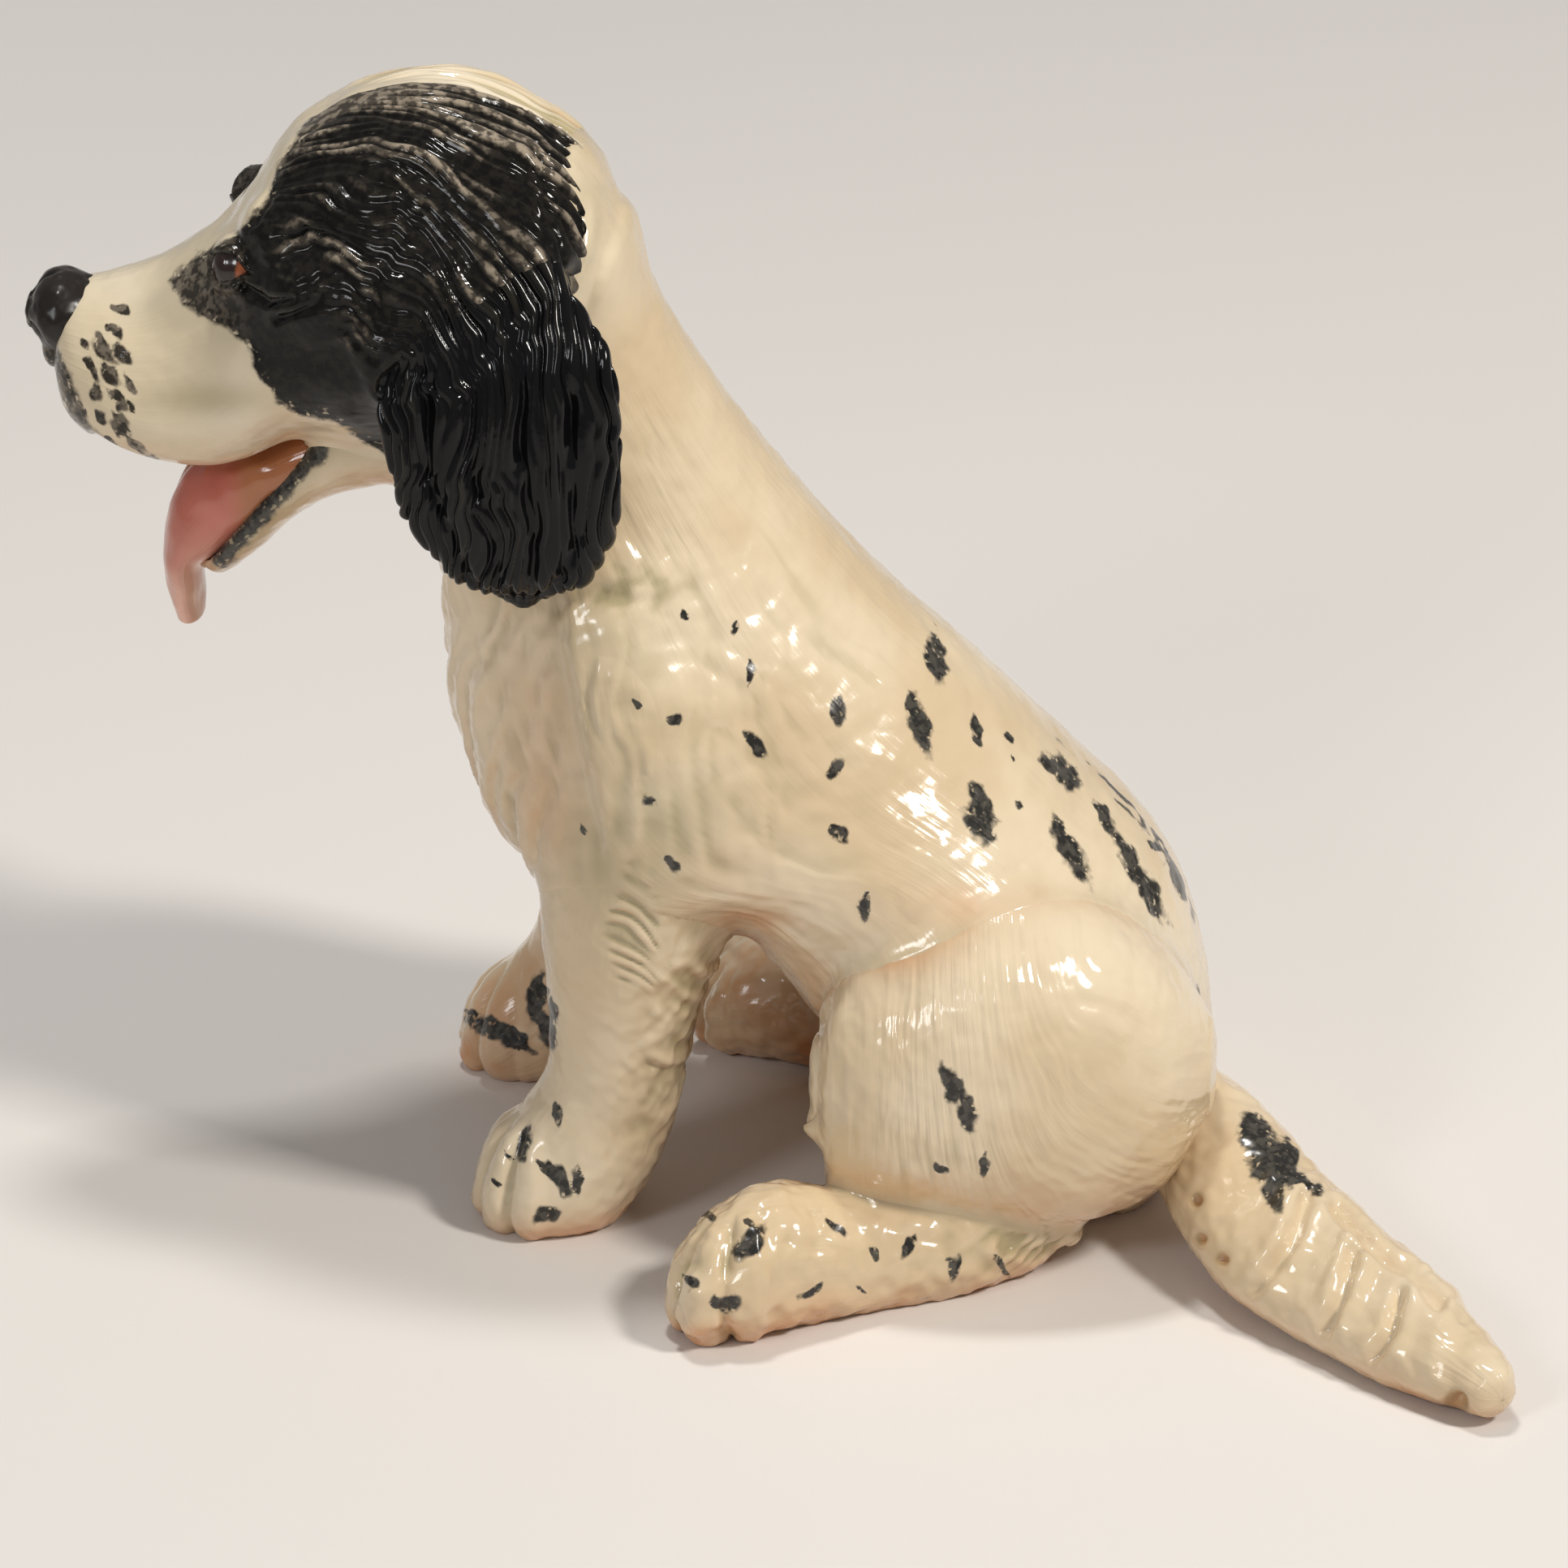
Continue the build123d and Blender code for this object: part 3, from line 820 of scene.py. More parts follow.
def brush_group() -> bpy.types.NodeTree:
    """Brushed paint: a distance, roughened by noise, made a mask with a broken edge, and a streaky tone."""
    inputs = dict.fromkeys(("Distance", "Ragged", "Soft", "Thinness"), VALUE)
    inputs |= dict.fromkeys(("Deep", "Thin"), COLOUR)
    tree, n, given, put = group_of("brushed_paint", inputs, {"Mask": VALUE, "Color": COLOUR})
    fray = n.minus(n.speckle(520.0, 4.0), 0.5)
    edge = n.plus(given["Distance"], n.times(fray, given["Ragged"]))
    ramp = n.math("DIVIDE", edge, given["Soft"])
    gaps = n.ease(n.speckle(1300.0, 1.0), 0.60, 0.72)
    bare = n.times(gaps, n.times(n.ease(ramp, 2.6, 0.6), 0.85))
    mask = n.times(n.ease(ramp, -0.5, 1.0), n.minus(1.0, bare))
    n.link(mask, put["Mask"])
    streak = n.ease(n.speckle(900.0), 0.42, 0.62)
    wash = n.times(n.plus(n.times(streak, 0.8), 0.2), given["Thinness"])
    n.link(n.blend(wash, given["Deep"], given["Thin"]), put["Color"])
    return tree


@dataclass(frozen=True)
class Groups:
    """The shader node groups that the glazes share."""

    glaze: bpy.types.NodeTree
    combing: bpy.types.NodeTree
    brush: bpy.types.NodeTree


@dataclass(frozen=True)
class Finish:
    """A fired glaze: its tones, how it gathers, and what is painted on it."""

    name: str
    body: Tone
    light: Tone
    pool: Tone
    # Tone of bare clay, laid both as real tints and as painted warm shade
    clay: Tone
    thin: Tone
    paint_deep: Tone = (0.012, 0.011, 0.010)
    paint_thin: Tone = (0.11, 0.10, 0.08)
    roughness_shift: float = 0.0
    ior: float = 1.48
    coat: float = 0.35
    ripple: float = 0.00012
    combing: float = 0.00030

    def material(self, groups: Groups) -> bpy.types.Material:
        """Principled glaze under a clear coat, with the shared groups for tone, strokes and paint.

        Args:
            groups: The shared node groups.

        Returns:
            The material.
        """
        made = bpy.data.materials.new(self.name)
        made.use_nodes = True
        tree = made.node_tree
        tree.nodes.clear()
        n = Nodes(tree)
        glaze = n.add("ShaderNodeGroup", node_tree=groups.glaze)
        for label in ("Body", "Light", "Pool", "Clay", "Thin"):
            glaze.inputs[label].default_value = (*getattr(self, label.lower()), 1.0)
        for label in ("Groove", "Seam", "Tint_and_shade"):
            n.link(n.attribute(label.lower()), glaze.inputs[label])
        colour, clear = glaze.outputs["Color"], self.coat
        for name, ragged, soft in (("mask", 2.0, 0.5), ("mark", 1.25, 0.30)):
            brush = n.add("ShaderNodeGroup", node_tree=groups.brush)
            deep, thin = (*self.paint_deep, 1.0), (*self.paint_thin, 1.0)
            for label, value in (("Ragged", ragged), ("Soft", soft), ("Deep", deep), ("Thin", thin)):
                brush.inputs[label].default_value = value
            n.link(n.attribute("wash"), brush.inputs["Thinness"])
            n.link(n.attribute(name), brush.inputs["Distance"])
            colour = n.blend(brush.outputs["Mask"], colour, brush.outputs["Color"])
            clear = n.times(clear, n.minus(1.0, brush.outputs["Mask"]))
        comb = n.add("ShaderNodeGroup", node_tree=groups.combing)
        for label, name in (("Across", "across"), ("Along", "along"), ("Strength", "combing")):
            n.link(n.attribute(name), comb.inputs[label])
        wave = n.add("ShaderNodeBump", {"Distance": self.ripple, "Height": glaze.outputs["Height"]})
        stroke = n.add("ShaderNodeBump", {
            "Distance": self.combing, "Height": comb.outputs["Height"], "Normal": wave.outputs[0]})
        skin = n.add("ShaderNodeBsdfPrincipled", {
            "Base Color": colour, "Roughness": n.plus(glaze.outputs["Roughness"], self.roughness_shift),
            "Normal": stroke.outputs[0], "IOR": self.ior, "Coat Weight": clear, "Coat Roughness": 0.03,
            "Coat IOR": 1.5})
        n.add("ShaderNodeOutputMaterial", {"Surface": skin.outputs[0]})
        return made


FINISHES: dict[Glaze, Finish] = {
    Glaze.CREAM: Finish(
        "cream_glaze", body=(0.67, 0.52, 0.33), light=(0.79, 0.66, 0.47), pool=(0.33, 0.28, 0.14),
        clay=(0.62, 0.29, 0.12), thin=(0.82, 0.72, 0.56)),
    # The head's thin paint is pale enough to serve in part as painted highlight on the crown
    Glaze.HEAD: Finish(
        "head_glaze", body=(0.73, 0.61, 0.42), light=(0.82, 0.72, 0.56), pool=(0.38, 0.31, 0.15),
        clay=(0.60, 0.34, 0.16), thin=(0.84, 0.75, 0.60), paint_deep=(0.005, 0.0045, 0.004),
        paint_thin=(0.34, 0.28, 0.21), roughness_shift=-0.05, ior=1.30, coat=0.50),
    Glaze.BLACK: Finish(
        "black_glaze", body=(0.005, 0.005, 0.005), light=(0.008, 0.007, 0.007), pool=(0.003, 0.003, 0.004),
        clay=(0.03, 0.025, 0.02), thin=(0.035, 0.030, 0.020), roughness_shift=-0.04, ior=1.32, coat=0.0),
    Glaze.NOSE: Finish(
        "nose_glaze", body=(0.012, 0.009, 0.008), light=(0.030, 0.024, 0.018), pool=(0.005, 0.004, 0.004),
        clay=(0.05, 0.035, 0.025), thin=(0.05, 0.045, 0.03), roughness_shift=0.10, ior=1.40, coat=0.0),
    Glaze.TONGUE: Finish(
        "tongue_glaze", body=(0.43, 0.09, 0.055), light=(0.62, 0.20, 0.14), pool=(0.40, 0.16, 0.05),
        clay=(0.84, 0.52, 0.40), thin=(0.70, 0.34, 0.26)),
    Glaze.EYE: Finish(
        "eye_glaze", body=(0.020, 0.009, 0.006), light=(0.035, 0.014, 0.008), pool=(0.01, 0.005, 0.004),
        clay=(0.50, 0.13, 0.04), thin=(0.05, 0.02, 0.01)),
}


@dataclass
class Piece:
    """A piece of clay: its rows, how finely its skin is cut, and how it joins its neighbours."""

    node: str = ""
    glaze: Glaze = Glaze.CREAM
    rows: Rows = ()
    domes: tuple[float, float] = (4.0, 4.0)
    grid: tuple[int, int] = (200, 160)
    crowding: float = 0.0
    sink: float = 4.0
    spots: Rows = ()
    far_spots: Rows = ()
    far_shift: tuple[float, float] = (0.0, 0.0)
    pools: Rows = ()
    # Patches of painted warm shade in the picture: across, down, half width, half height and strength
    warm_shade_patches: Rows = ()
    combing: float = 0.6
    unevenness: float = 0.15

    def form_at(self, shares: Array) -> Form:
        """Sections of the piece at places along its path."""
        return Form.from_pairs(self.rows, shares, self.domes)

    def form(self) -> Form:
        """Sections of the piece that its neighbours are joined to."""
        return self.form_at(np.linspace(0, 1, FIELD_STATIONS))

    def model(self, skin: Skin) -> None:
        """Work the piece's own shapes and strokes into its skin."""

    def finish_form(self, skin: Skin) -> None:
        """Settle the piece on the ground."""
        skin.points[..., 2] = np.maximum(skin.points[..., 2], 0.0)

    def paint(self, skin: Skin) -> dict[str, Array]:
        """Values over the skin that the glaze reads.

        Args:
            skin: The finished skin.

        Returns:
            Each value by name.
        """
        p, normal, pixels = skin.points, skin.normals(), self.pixels(skin)
        into, y = PICTURE.axes()[2], p[..., 1]
        # Painted warm shade: the clay tone is laid on faces turned down, near the ground, on inner faces between the
        # legs, and in the warm shade patches
        low = smooth(0.1, 0.9, -normal[..., 2])
        ground = smooth(7.0, 0.0, p[..., 2]) * 0.5
        inner = smooth(0.1, -0.7, np.sign(y) * normal[..., 1]) * smooth(4.0, 10.0, np.abs(y))
        warm = 0.55 * low + ground + 0.70 * inner + tint_field(pixels, self.warm_shade_patches)
        turned = np.where(p[..., 1:2] > 0, normal * [1, -1, 1], normal) @ into
        moved = pixels + smooth(1.0, 9.0, y)[..., None] * np.array(self.far_shift)
        mark = np.where(turned < -0.08, spot_field(moved, self.spots), NO_DAB)
        if self.far_spots:
            seen = np.where(normal @ into < 0.1, spot_field(PICTURE.pixels(p), self.far_spots), NO_DAB)
            mark = np.maximum(np.where(inner > 0.3, NO_DAB, mark), seen)
        radius = np.sqrt(np.mean(skin.rise ** 2 + skin.out ** 2))
        return {
            "groove": skin.groove - tint_field(pixels, self.pools), "seam": skin.seam, "mark": mark,
            "tint_and_shade": np.clip(warm, 0, 1), "mask": np.full(y.shape, UNPAINTED), "wash": np.full(y.shape, 0.6),
            "combing": self.combing * smooth(-0.5, 0.5, grain(p, 9.0, 77)),
            "across": np.abs(skin.turn - np.pi) * radius if skin.across is None else skin.across,
            "along": skin.along if skin.lengthwise is None else skin.lengthwise}

    def pixels(self, skin: Skin) -> Array:
        """Places in the picture; those of the right side are seen as if mirrored, and drawn a little otherwise."""
        p = skin.mirrored()
        far = smooth(0.0, 8.0, skin.points[..., 1])
        shift = np.stack([noise(p[..., 0] / 22, p[..., 2] / 22, k, 91) for k in (0.0, 7.0)], -1)
        return PICTURE.pixels(p) + 46.0 * shift * far[..., None]

    def joint_share(self, skin: Skin) -> Array:
        """How much each place of the skin takes part in the joints."""
        return np.ones(skin.along.shape)

    def build(self, neighbours: Joints, material: bpy.types.Material) -> bpy.types.Object:
        """Make the piece's mesh, join it to its neighbours and dress it.

        Args:
            neighbours: Forms that it meets, each joint's reach, and how far this piece runs on past the seam.
            material: Its glaze.

        Returns:
            The finished object.
        """
        skin = skin_of(self.form_at, *self.grid, self.domes, self.crowding)
        weld(skin, self.form(), neighbours, self.sink, self.joint_share(skin))
        self.model(skin)
        p = skin.points / 3.0
        skin.push(self.unevenness * (grain(p, 1.0, 81) + 0.5 * grain(2.4 * p, 1.0, 82)))
        self.finish_form(skin)
        made = mesh_of(self.node + "_glazed", skin, self.paint(skin))
        made.data.materials.append(material)
        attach(made, "root")
        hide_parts(self.node)
        low, high = skin.points.min(axis=(0, 1)).round(1), skin.points.max(axis=(0, 1)).round(1)
        LOG.info("%s from %s to %s mm, %d faces", made.name, low, high, len(made.data.polygons))
        return made


def node_box(node: str) -> tuple[Array, Array]:
    """Middle and size of a node of the frame, in millimetres."""
    low, high = (np.array(corner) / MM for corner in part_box(node))
    return (low + high) / 2, high - low


def sided(rows: Rows, side: Side, forward: float = 0.0, tuck: float = 0.0) -> Rows:
    """Rows of a limb on its own side, moved forward and in towards the middle.

    Args:
        rows: Two points, distance out from the middle, and half width of each section.
        side: The limb's side.
        forward: How far it is moved towards the nose.
        tuck: How far it is moved in.

    Returns:
        The rows, with y for the distance out.
    """
    return tuple((a - forward, b, c - forward, d, side.value * (out - tuck), half) for a, b, c, d, out, half in rows)


# In the picture: the line in front of the shoulder, and the middle and reach of the crescents below it
SHOULDER_FOLD: Line = (
    (703, 690), (697, 740), (694, 790), (705, 850), (716, 910), (728, 970), (742, 1028), (748, 1060))
CRESCENTS: Line = ((782, 1148), (36, 88))
# Dabs and pools that the torso and the forelegs share
SHOULDER_SPOTS: Rows = (
    (833, 888, 10, 7, 40), (801, 985, 11, 9, 60), (828, 1065, 11, 9, 60), (783, 868, 6, 4, 60), (718, 1020, 6, 4, 60),
    (925, 827, 16, 5, 95), (930, 917, 18, 9, 60), (845, 757, 8, 6, 60), (905, 775, 8, 6, 60))
SHOULDER_POOLS: Rows = (
    (765, 722, 75, 36, 0.15), (695, 830, 22, 110, 0.10), (860, 960, 120, 90, 0.05), (790, 1035, 110, 80, 0.12),
    (770, 1160, 70, 80, 0.10))


def shoulder_step(skin: Skin, pixels: Array) -> None:
    """Move a skin sideways by the step in front of the shoulder: a raised edge, and a hollow before it.

    The step falls off exponentially on both sides of the drawn line.

    Args:
        skin: Skin of the torso or a foreleg.
        pixels: Its places in the picture.
    """
    line = np.asarray(SHOULDER_FOLD, float)
    ahead = (pixels[..., 0] - np.interp(pixels[..., 1], line[:, 1], line[:, 0])) / PICTURE.pixels_per_mm
    turn = smooth(-1.1, 1.1, ahead)
    edge, hollow = np.exp(-np.maximum(ahead, 0) / 7.0), np.exp(np.minimum(ahead, 0) / 3.5)
    ends = smooth(690, 770, pixels[..., 1]) * smooth(1085, 990, pixels[..., 1])
    step = (1.2 * turn * edge - 1.5 * (1 - turn) * hollow) * ends
    step = step * smooth(7.0, 13.0, np.abs(skin.points[..., 1]))
    skin.points[..., 1] += np.sign(skin.points[..., 1]) * step


def shoulder_strokes(skin: Skin, pixels: Array) -> None:
    """Combing down the shoulder and knobbly tufts under the ear, drawn alike on the torso and the forelegs.

    Args:
        skin: Skin of the torso or a foreleg.
        pixels: Its places in the picture.
    """
    p, scale = skin.points, PICTURE.pixels_per_mm
    x, y = pixels[..., 0], pixels[..., 1]
    outer = smooth(9.0, 14.0, np.abs(p[..., 1]))
    lumps = grain(p, (2.0, 2.0, 2.2), 64) + 0.5 * grain(p, 1.0, 65)
    knobs = hill(pixels, (765, 725), (75, 42))
    shoulder = smooth(690, 725, x) * smooth(1010, 930, x) * smooth(735, 790, y) * smooth(1110, 1040, y)
    down = streaks((x - 0.10 * y) / scale, y / scale, 1.1, 7.0, 67) + 0.6 * grain(p, (2.2, 2.2, 2.6), 68)
    bend = 0.006 * (x - 778) ** 2
    slope, run = (0.83 * y - 0.55 * x - bend) / scale, (0.83 * x + 0.55 * y) / scale
    crescents = strands(slope, run, 1.4, 0.9, 36, 0.9) - 0.55
    patch = smooth(0.25, 0.8, hill(pixels, *CRESCENTS) + 0.25 * noise(x / 14, y / 14, 0.0, 39))
    strokes = shoulder * down * (1 - patch)
    skin.push(0.17 * outer * strokes)
    skin.comb(outer * (0.32 * knobs * lumps + 0.11 * strokes + 0.62 * patch * crescents))


@dataclass
class Torso(Piece):
    """Body with the neck and the flat seat. Rows run from the neck down: back point, then front point."""

    node: str = "torso"
    rows: Rows = (
        (-58.0, 125.0, -82.0, 112.5, 0, 13.0), (-52.0, 116.3, -80.0, 103.8, 0, 16.0),
        (-46.4, 106.3, -77.1, 92.5, 0, 17.4), (-36.8, 92.5, -75.2, 76.3, 0, 19.9),
        (-24.3, 77.5, -73.3, 60.0, 0, 24.1), (-10.9, 65.0, -65.6, 42.5, 0, 26.9),
        (-0.3, 53.8, -45.4, 40.0, 0, 28.0), (9.3, 43.8, -31.0, 23.8, 0, 28.0),
        (14.1, 32.5, -19.5, 11.3, 0, 26.9), (16.0, 18.8, -9.0, -1.3, 0, 19.9),
        (14.1, 7.5, -1.3, -5.0, 0, 10.1))
    domes: tuple[float, float] = (5.0, 3.0)
    grid: tuple[int, int] = (390, 240)
    sink: float = 7.0
    spots: Rows = SHOULDER_SPOTS + (
        (1153, 812, 26, 12, 68), (1132, 890, 36, 13, 78), (1202, 893, 14, 6, 60), (1206, 915, 8, 5, 60),
        (1243, 910, 8, 5, 60), (1247, 935, 5, 3, 60), (1307, 950, 28, 14, 55), (1207, 1003, 32, 18, 62),
        (1257, 990, 6, 4, 60), (1360, 1005, 22, 8, 62), (1405, 1080, 62, 13, 60), (1318, 1048, 42, 13, 58),
        (1033, 876, 17, 10, 95), (1030, 945, 12, 9, 130), (1034, 1025, 14, 10, 60), (1066, 1118, 16, 8, 80),
        (1390, 990, 40, 7, 52), (1432, 1045, 18, 6, 50), (1452, 1085, 30, 7, 58), (1472, 1130, 12, 6, 75),
        (1474, 1235, 20, 5, 80))
    far_shift: tuple[float, float] = (85.0, -45.0)
    pools: Rows = SHOULDER_POOLS + ((980, 800, 90, 120, 0.04),)
    warm_shade_patches: Rows = (
        (672, 930, 40, 120, 0.50), (620, 820, 40, 60, 0.12), (1200, 1118, 120, 30, 0.42),
        (925, 1130, 60, 60, 0.35), (1000, 1230, 60, 50, 0.3))

    def model(self, skin: Skin) -> None:
        """Step in front of the shoulder, strokes on it, tufts down the chest and combed sides."""
        p, normal, pixels = skin.points, skin.normals(), self.pixels(skin)
        scale, height = PICTURE.pixels_per_mm, p[..., 2]
        free = 1 - smooth(0.3, 0.85, skin.seam)
        shoulder_step(skin, pixels)
        shoulder_strokes(skin, pixels)
        x, y = pixels[..., 0], pixels[..., 1]
        before = smooth(4.0, -2.0, (x - 705) / scale - smooth(700, 1030, y) * 4.0)
        chest = before * smooth(36.0, 48.0, height) * smooth(102.0, 92.0, height) * smooth(0.5, 0.1, normal[..., 0])
        slant = (0.8 * x + 0.6 * y) / scale + 0.8 * np.abs(p[..., 1])
        tuft = streaks(slant, (0.8 * y - 0.6 * x) / scale, 1.9, 8.0, 61)
        flank = smooth(0.2, 0.6, np.abs(normal[..., 1])) * smooth(-10.0, -26.0, p[..., 0])
        flank = flank * smooth(112.0, 98.0, height)
        comb = streaks(np.abs(skin.turn - np.pi) * 24.0, skin.along, 1.0, 6.0, 63)
        skin.push(0.50 * free * chest * tuft)
        skin.comb(free * (0.20 * chest * tuft + 0.13 * flank * comb))


@dataclass
class Head(Piece):
    """Skull, muzzle with its flews, and the palate. Rows run from the muzzle's tip back: top, then low point."""

    node: str = "head"
    glaze: Glaze = Glaze.HEAD
    rows: Rows = (
        (-119.6, 106.6, -119.6, 101.4, 0, 3.1), (-117.7, 111.3, -117.7, 95.7, 0, 7.9, 0.46),
        (-113.3, 112.7, -113.3, 92.9, 0, 11.0, 0.42), (-107.0, 115.0, -107.7, 91.5, 0, 12.8, 0.38),
        (-101.4, 119.2, -101.4, 90.6, 0, 14.5, 0.38), (-97.0, 123.9, -96.3, 92.0, 0, 16.9, 0.42),
        (-91.3, 131.5, -90.0, 95.3, 0, 20.0, 0.46), (-83.1, 136.2, -81.8, 94.8, 0, 22.0),
        (-74.3, 137.5, -73.0, 94.3, 0, 22.0, 0.54), (-66.1, 135.2, -66.1, 99.5, 0, 20.0, 0.54),
        (-58.5, 130.1, -61.1, 106.1, 0, 16.7, 0.52), (-54.1, 122.1, -57.9, 113.1, 0, 9.9))
    domes: tuple[float, float] = (1.6, 2.5)
    grid: tuple[int, int] = (240, 400)
    crowding: float = 0.45
    unevenness: float = 0.08
    sink: float = 6.0
    mask_outline: Line = (
        (205, 345), (225, 375), (262, 398), (300, 422), (322, 470), (345, 500), (372, 514), (398, 516), (425, 528),
        (470, 560), (560, 600), (660, 560), (712, 420), (732, 290), (727, 194), (692, 127), (624, 88), (520, 80),
        (430, 97), (383, 139), (346, 198), (328, 242), (290, 286), (245, 310))
    blaze: float = 15.0
    far_eye: Place = (-96.3, 10.8, 118.8)
    folds: tuple[Line, ...] = (
        ((312, 276), (336, 240), (372, 222), (412, 226), (438, 252)),
        ((398, 268), (420, 300), (416, 340), (388, 376), (346, 392)),
        ((352, 196), (398, 190), (440, 206)), ((300, 352), (330, 372), (360, 368)))
    lip: Line = ((60, 432), (72, 455), (85, 490), (98, 520), (113, 541))
    brow: Rows = ((1.5, 0.3), (-93.0, 12.0, 124.0), (4.5, 4.5, 2.6))
    hills: Rows = (
        (-1.0, -98.5, 11.0, 117.5, 4.0, 5.0, 3.4), (0.9, -108.0, 12.5, 97.0, 8.0, 5.0, 5.5),
        (-0.8, -90.0, 18.0, 111.0, 7.0, 7.0, 5.0), (0.8, -87.5, 18.0, 119.0, 4.0, 7.0, 3.2),
        (-0.9, -87.0, 17.0, 124.5, 6.0, 7.0, 1.8), (0.7, -84.0, 20.0, 106.0, 5.0, 7.0, 6.0))
    spots: Rows = (
        (148, 380, 12, 7, 20), (140, 408, 13, 8, 60), (128, 430, 18, 9, 50), (152, 437, 14, 8, 70),
        (112, 455, 16, 6, 70), (136, 462, 17, 8, 50), (160, 472, 12, 6, 60), (118, 485, 13, 8, 60),
        (146, 492, 16, 8, 50), (165, 502, 8, 5, 60), (124, 515, 11, 6, 50), (150, 525, 19, 9, 50),
        (168, 547, 15, 6, 35), (140, 547, 10, 5, 40), (185, 562, 10, 4, 20), (100, 505, 10, 5, 60),
        (105, 425, 8, 4, 60))

    def model(self, skin: Skin) -> None:
        """Brows, eye sockets, flews, stop, palate, the combed crown and the folds round the eye.

        The hills are rows of height, place and radii, worked in alike on both sides. The brow is such a hill with
        a height for the left and one for the right.

        Args:
            skin: The head's skin.
        """
        p = skin.points
        shape = np.zeros(p.shape[:2])
        ridges, (x, out, z), radii = self.brow
        for side, ridge in zip(Side, ridges):
            for row in ((ridge, x, out, z, *radii), *self.hills):
                shape += row[0] * hill(p, (row[1], side.value * row[2], row[3]), row[4:])
        shape -= 0.6 * hill(p, (-99.0, 0.0, 122.0), (5.0, 5.0, 5.0))
        skin.push(shape)
        self.lids(skin, "left_eye", (-0.52, -0.80, 0.28), 1.0)
        self.lids(skin, "right_eye", (-0.75, 0.50, 0.43), 0.7)
        p = skin.points
        normal = skin.normals()
        x, out, z = p[..., 0], np.abs(p[..., 1]), p[..., 2]
        roof = smooth(-0.35, -0.75, normal[..., 2]) * smooth(-115.5, -111.0, x)
        roof = roof * smooth(-80.0, -86.0, x) * smooth(10.5, 6.0, out)
        skin.points = p + roof[..., None] * [0.0, 0.0, 4.5]
        crown = smooth(114.0, 121.0, z + 0.6 * (x + 84.0)) * smooth(-97.0, -89.0, x)
        crown = crown * smooth(2.0, 7.0, out + 0.25 * (x + 84.0)) * smooth(101.0, 108.0, z)
        inside = -line_distance(self.pixels(skin), self.mask_outline, True) / PICTURE.pixels_per_mm
        root = smooth(0.2, 0.8, skin.seam) * smooth(110.0, 117.0, z) * smooth(8.0, 12.0, out)
        crown = np.maximum(crown, root) * smooth(-0.3, 1.6, inside)
        skin.comb(1.25 * crown * even_hair(p, Ear.hair_seed))
        drawn = self.pixels(skin)
        crease = sum(drawn_groove(drawn, line, 0.55) - 0.5 * drawn_groove(drawn, line, 1.5) for line in self.folds)
        plain = (1 - crown) * smooth(4.6, 7.0, np.linalg.norm(p - np.array(self.far_eye), axis=-1))
        skin.push(-0.9 * crease * smooth(4.0, 9.0, out) * plain)
        fold = grain(p, 4.0, 13) * smooth(-80.0, -88.0, x) * smooth(104.0, 110.0, z)
        skin.push(0.35 * fold * smooth(-104.0, -99.0, x) * plain)

    def lids(self, skin: Skin, node: str, gaze: Place, thick: float) -> None:
        """Wrap the skin round an eyeball, with an almond slit: places near it go to a sphere about its middle.

        Args:
            skin: The head's skin.
            node: The eye's node.
            gaze: Direction that the slit faces.
            thick: Thickness of the lids, as a share of the full one.
        """
        middle, size = node_box(node)
        radius = size[0] / 2
        look = unit(np.array(gaze))
        slit = unit(np.cross([0.0, 0.0, 1.0], look))
        tall = np.cross(look, slit)
        offset = skin.points - middle
        far = np.linalg.norm(offset, axis=-1)
        ray = unit(offset + 1.2 * look)
        a, b = ray @ slit, ray @ tall
        opening = 0.47 * (1 - (a / 0.78) ** 2) - np.abs(b + 0.05)
        bare = smooth(-0.05, 0.06, opening)
        rim = 0.35 * np.exp(-((opening + 0.10) / 0.10) ** 2)
        reach = (radius + thick * (0.45 + rim)) * (1 - bare) + (radius - 0.9) * bare
        share = smooth(6.6, 4.4, far) * (offset @ look > -1.5)
        skin.points = skin.points * (1 - share[..., None]) + (middle + ray * reach[..., None]) * share[..., None]

    def paint(self, skin: Skin) -> dict[str, Array]:
        """Black mask short of the blaze, dark lip and far lids, thin paint on muzzle, crown and ridges, paler on top
        as painted highlight.

        Args:
            skin: The finished skin.

        Returns:
            Each value by name.
        """
        values = super().paint(skin)
        pixels, scale = self.pixels(skin), PICTURE.pixels_per_mm
        x, y, z = skin.points.transpose(2, 0, 1)
        mask = -line_distance(pixels, self.mask_outline, True) / scale
        edge = y - self.blaze + 2.5 * noise(x / 6, 0 * y, z / 6, 17)
        mask = np.minimum(mask, np.where(y > 0, edge, -UNPAINTED))
        lip = 1.2 - line_distance(pixels, self.lip, False) / scale
        lids = 5.3 - np.linalg.norm(skin.points - np.array(self.far_eye), axis=-1)
        values["mask"] = np.maximum(np.maximum(mask, lip), lids)
        groove = values["groove"] = values["groove"] - 0.20 * hill(pixels, (260, 492), (95, 26))
        values["combing"] = np.full(y.shape, 0.25)
        across, down = pixels[..., 0], pixels[..., 1]
        front = smooth(330, 220, across) * smooth(150, 190, across)
        whiskers = 0.5 * smooth(225, 195, across)
        # Paler thin paint over the top band of the crown: partly the brown of its thinned ridges, partly painted
        # highlight
        top = 1.2 * smooth(270, 130, down) * smooth(-0.20, 0.15, groove)
        ridges = 2.8 * np.clip(groove - 0.04, 0, 1)
        values["wash"] = np.clip(front * 0.6 + whiskers + top + ridges, 0.03, 1)
        return values


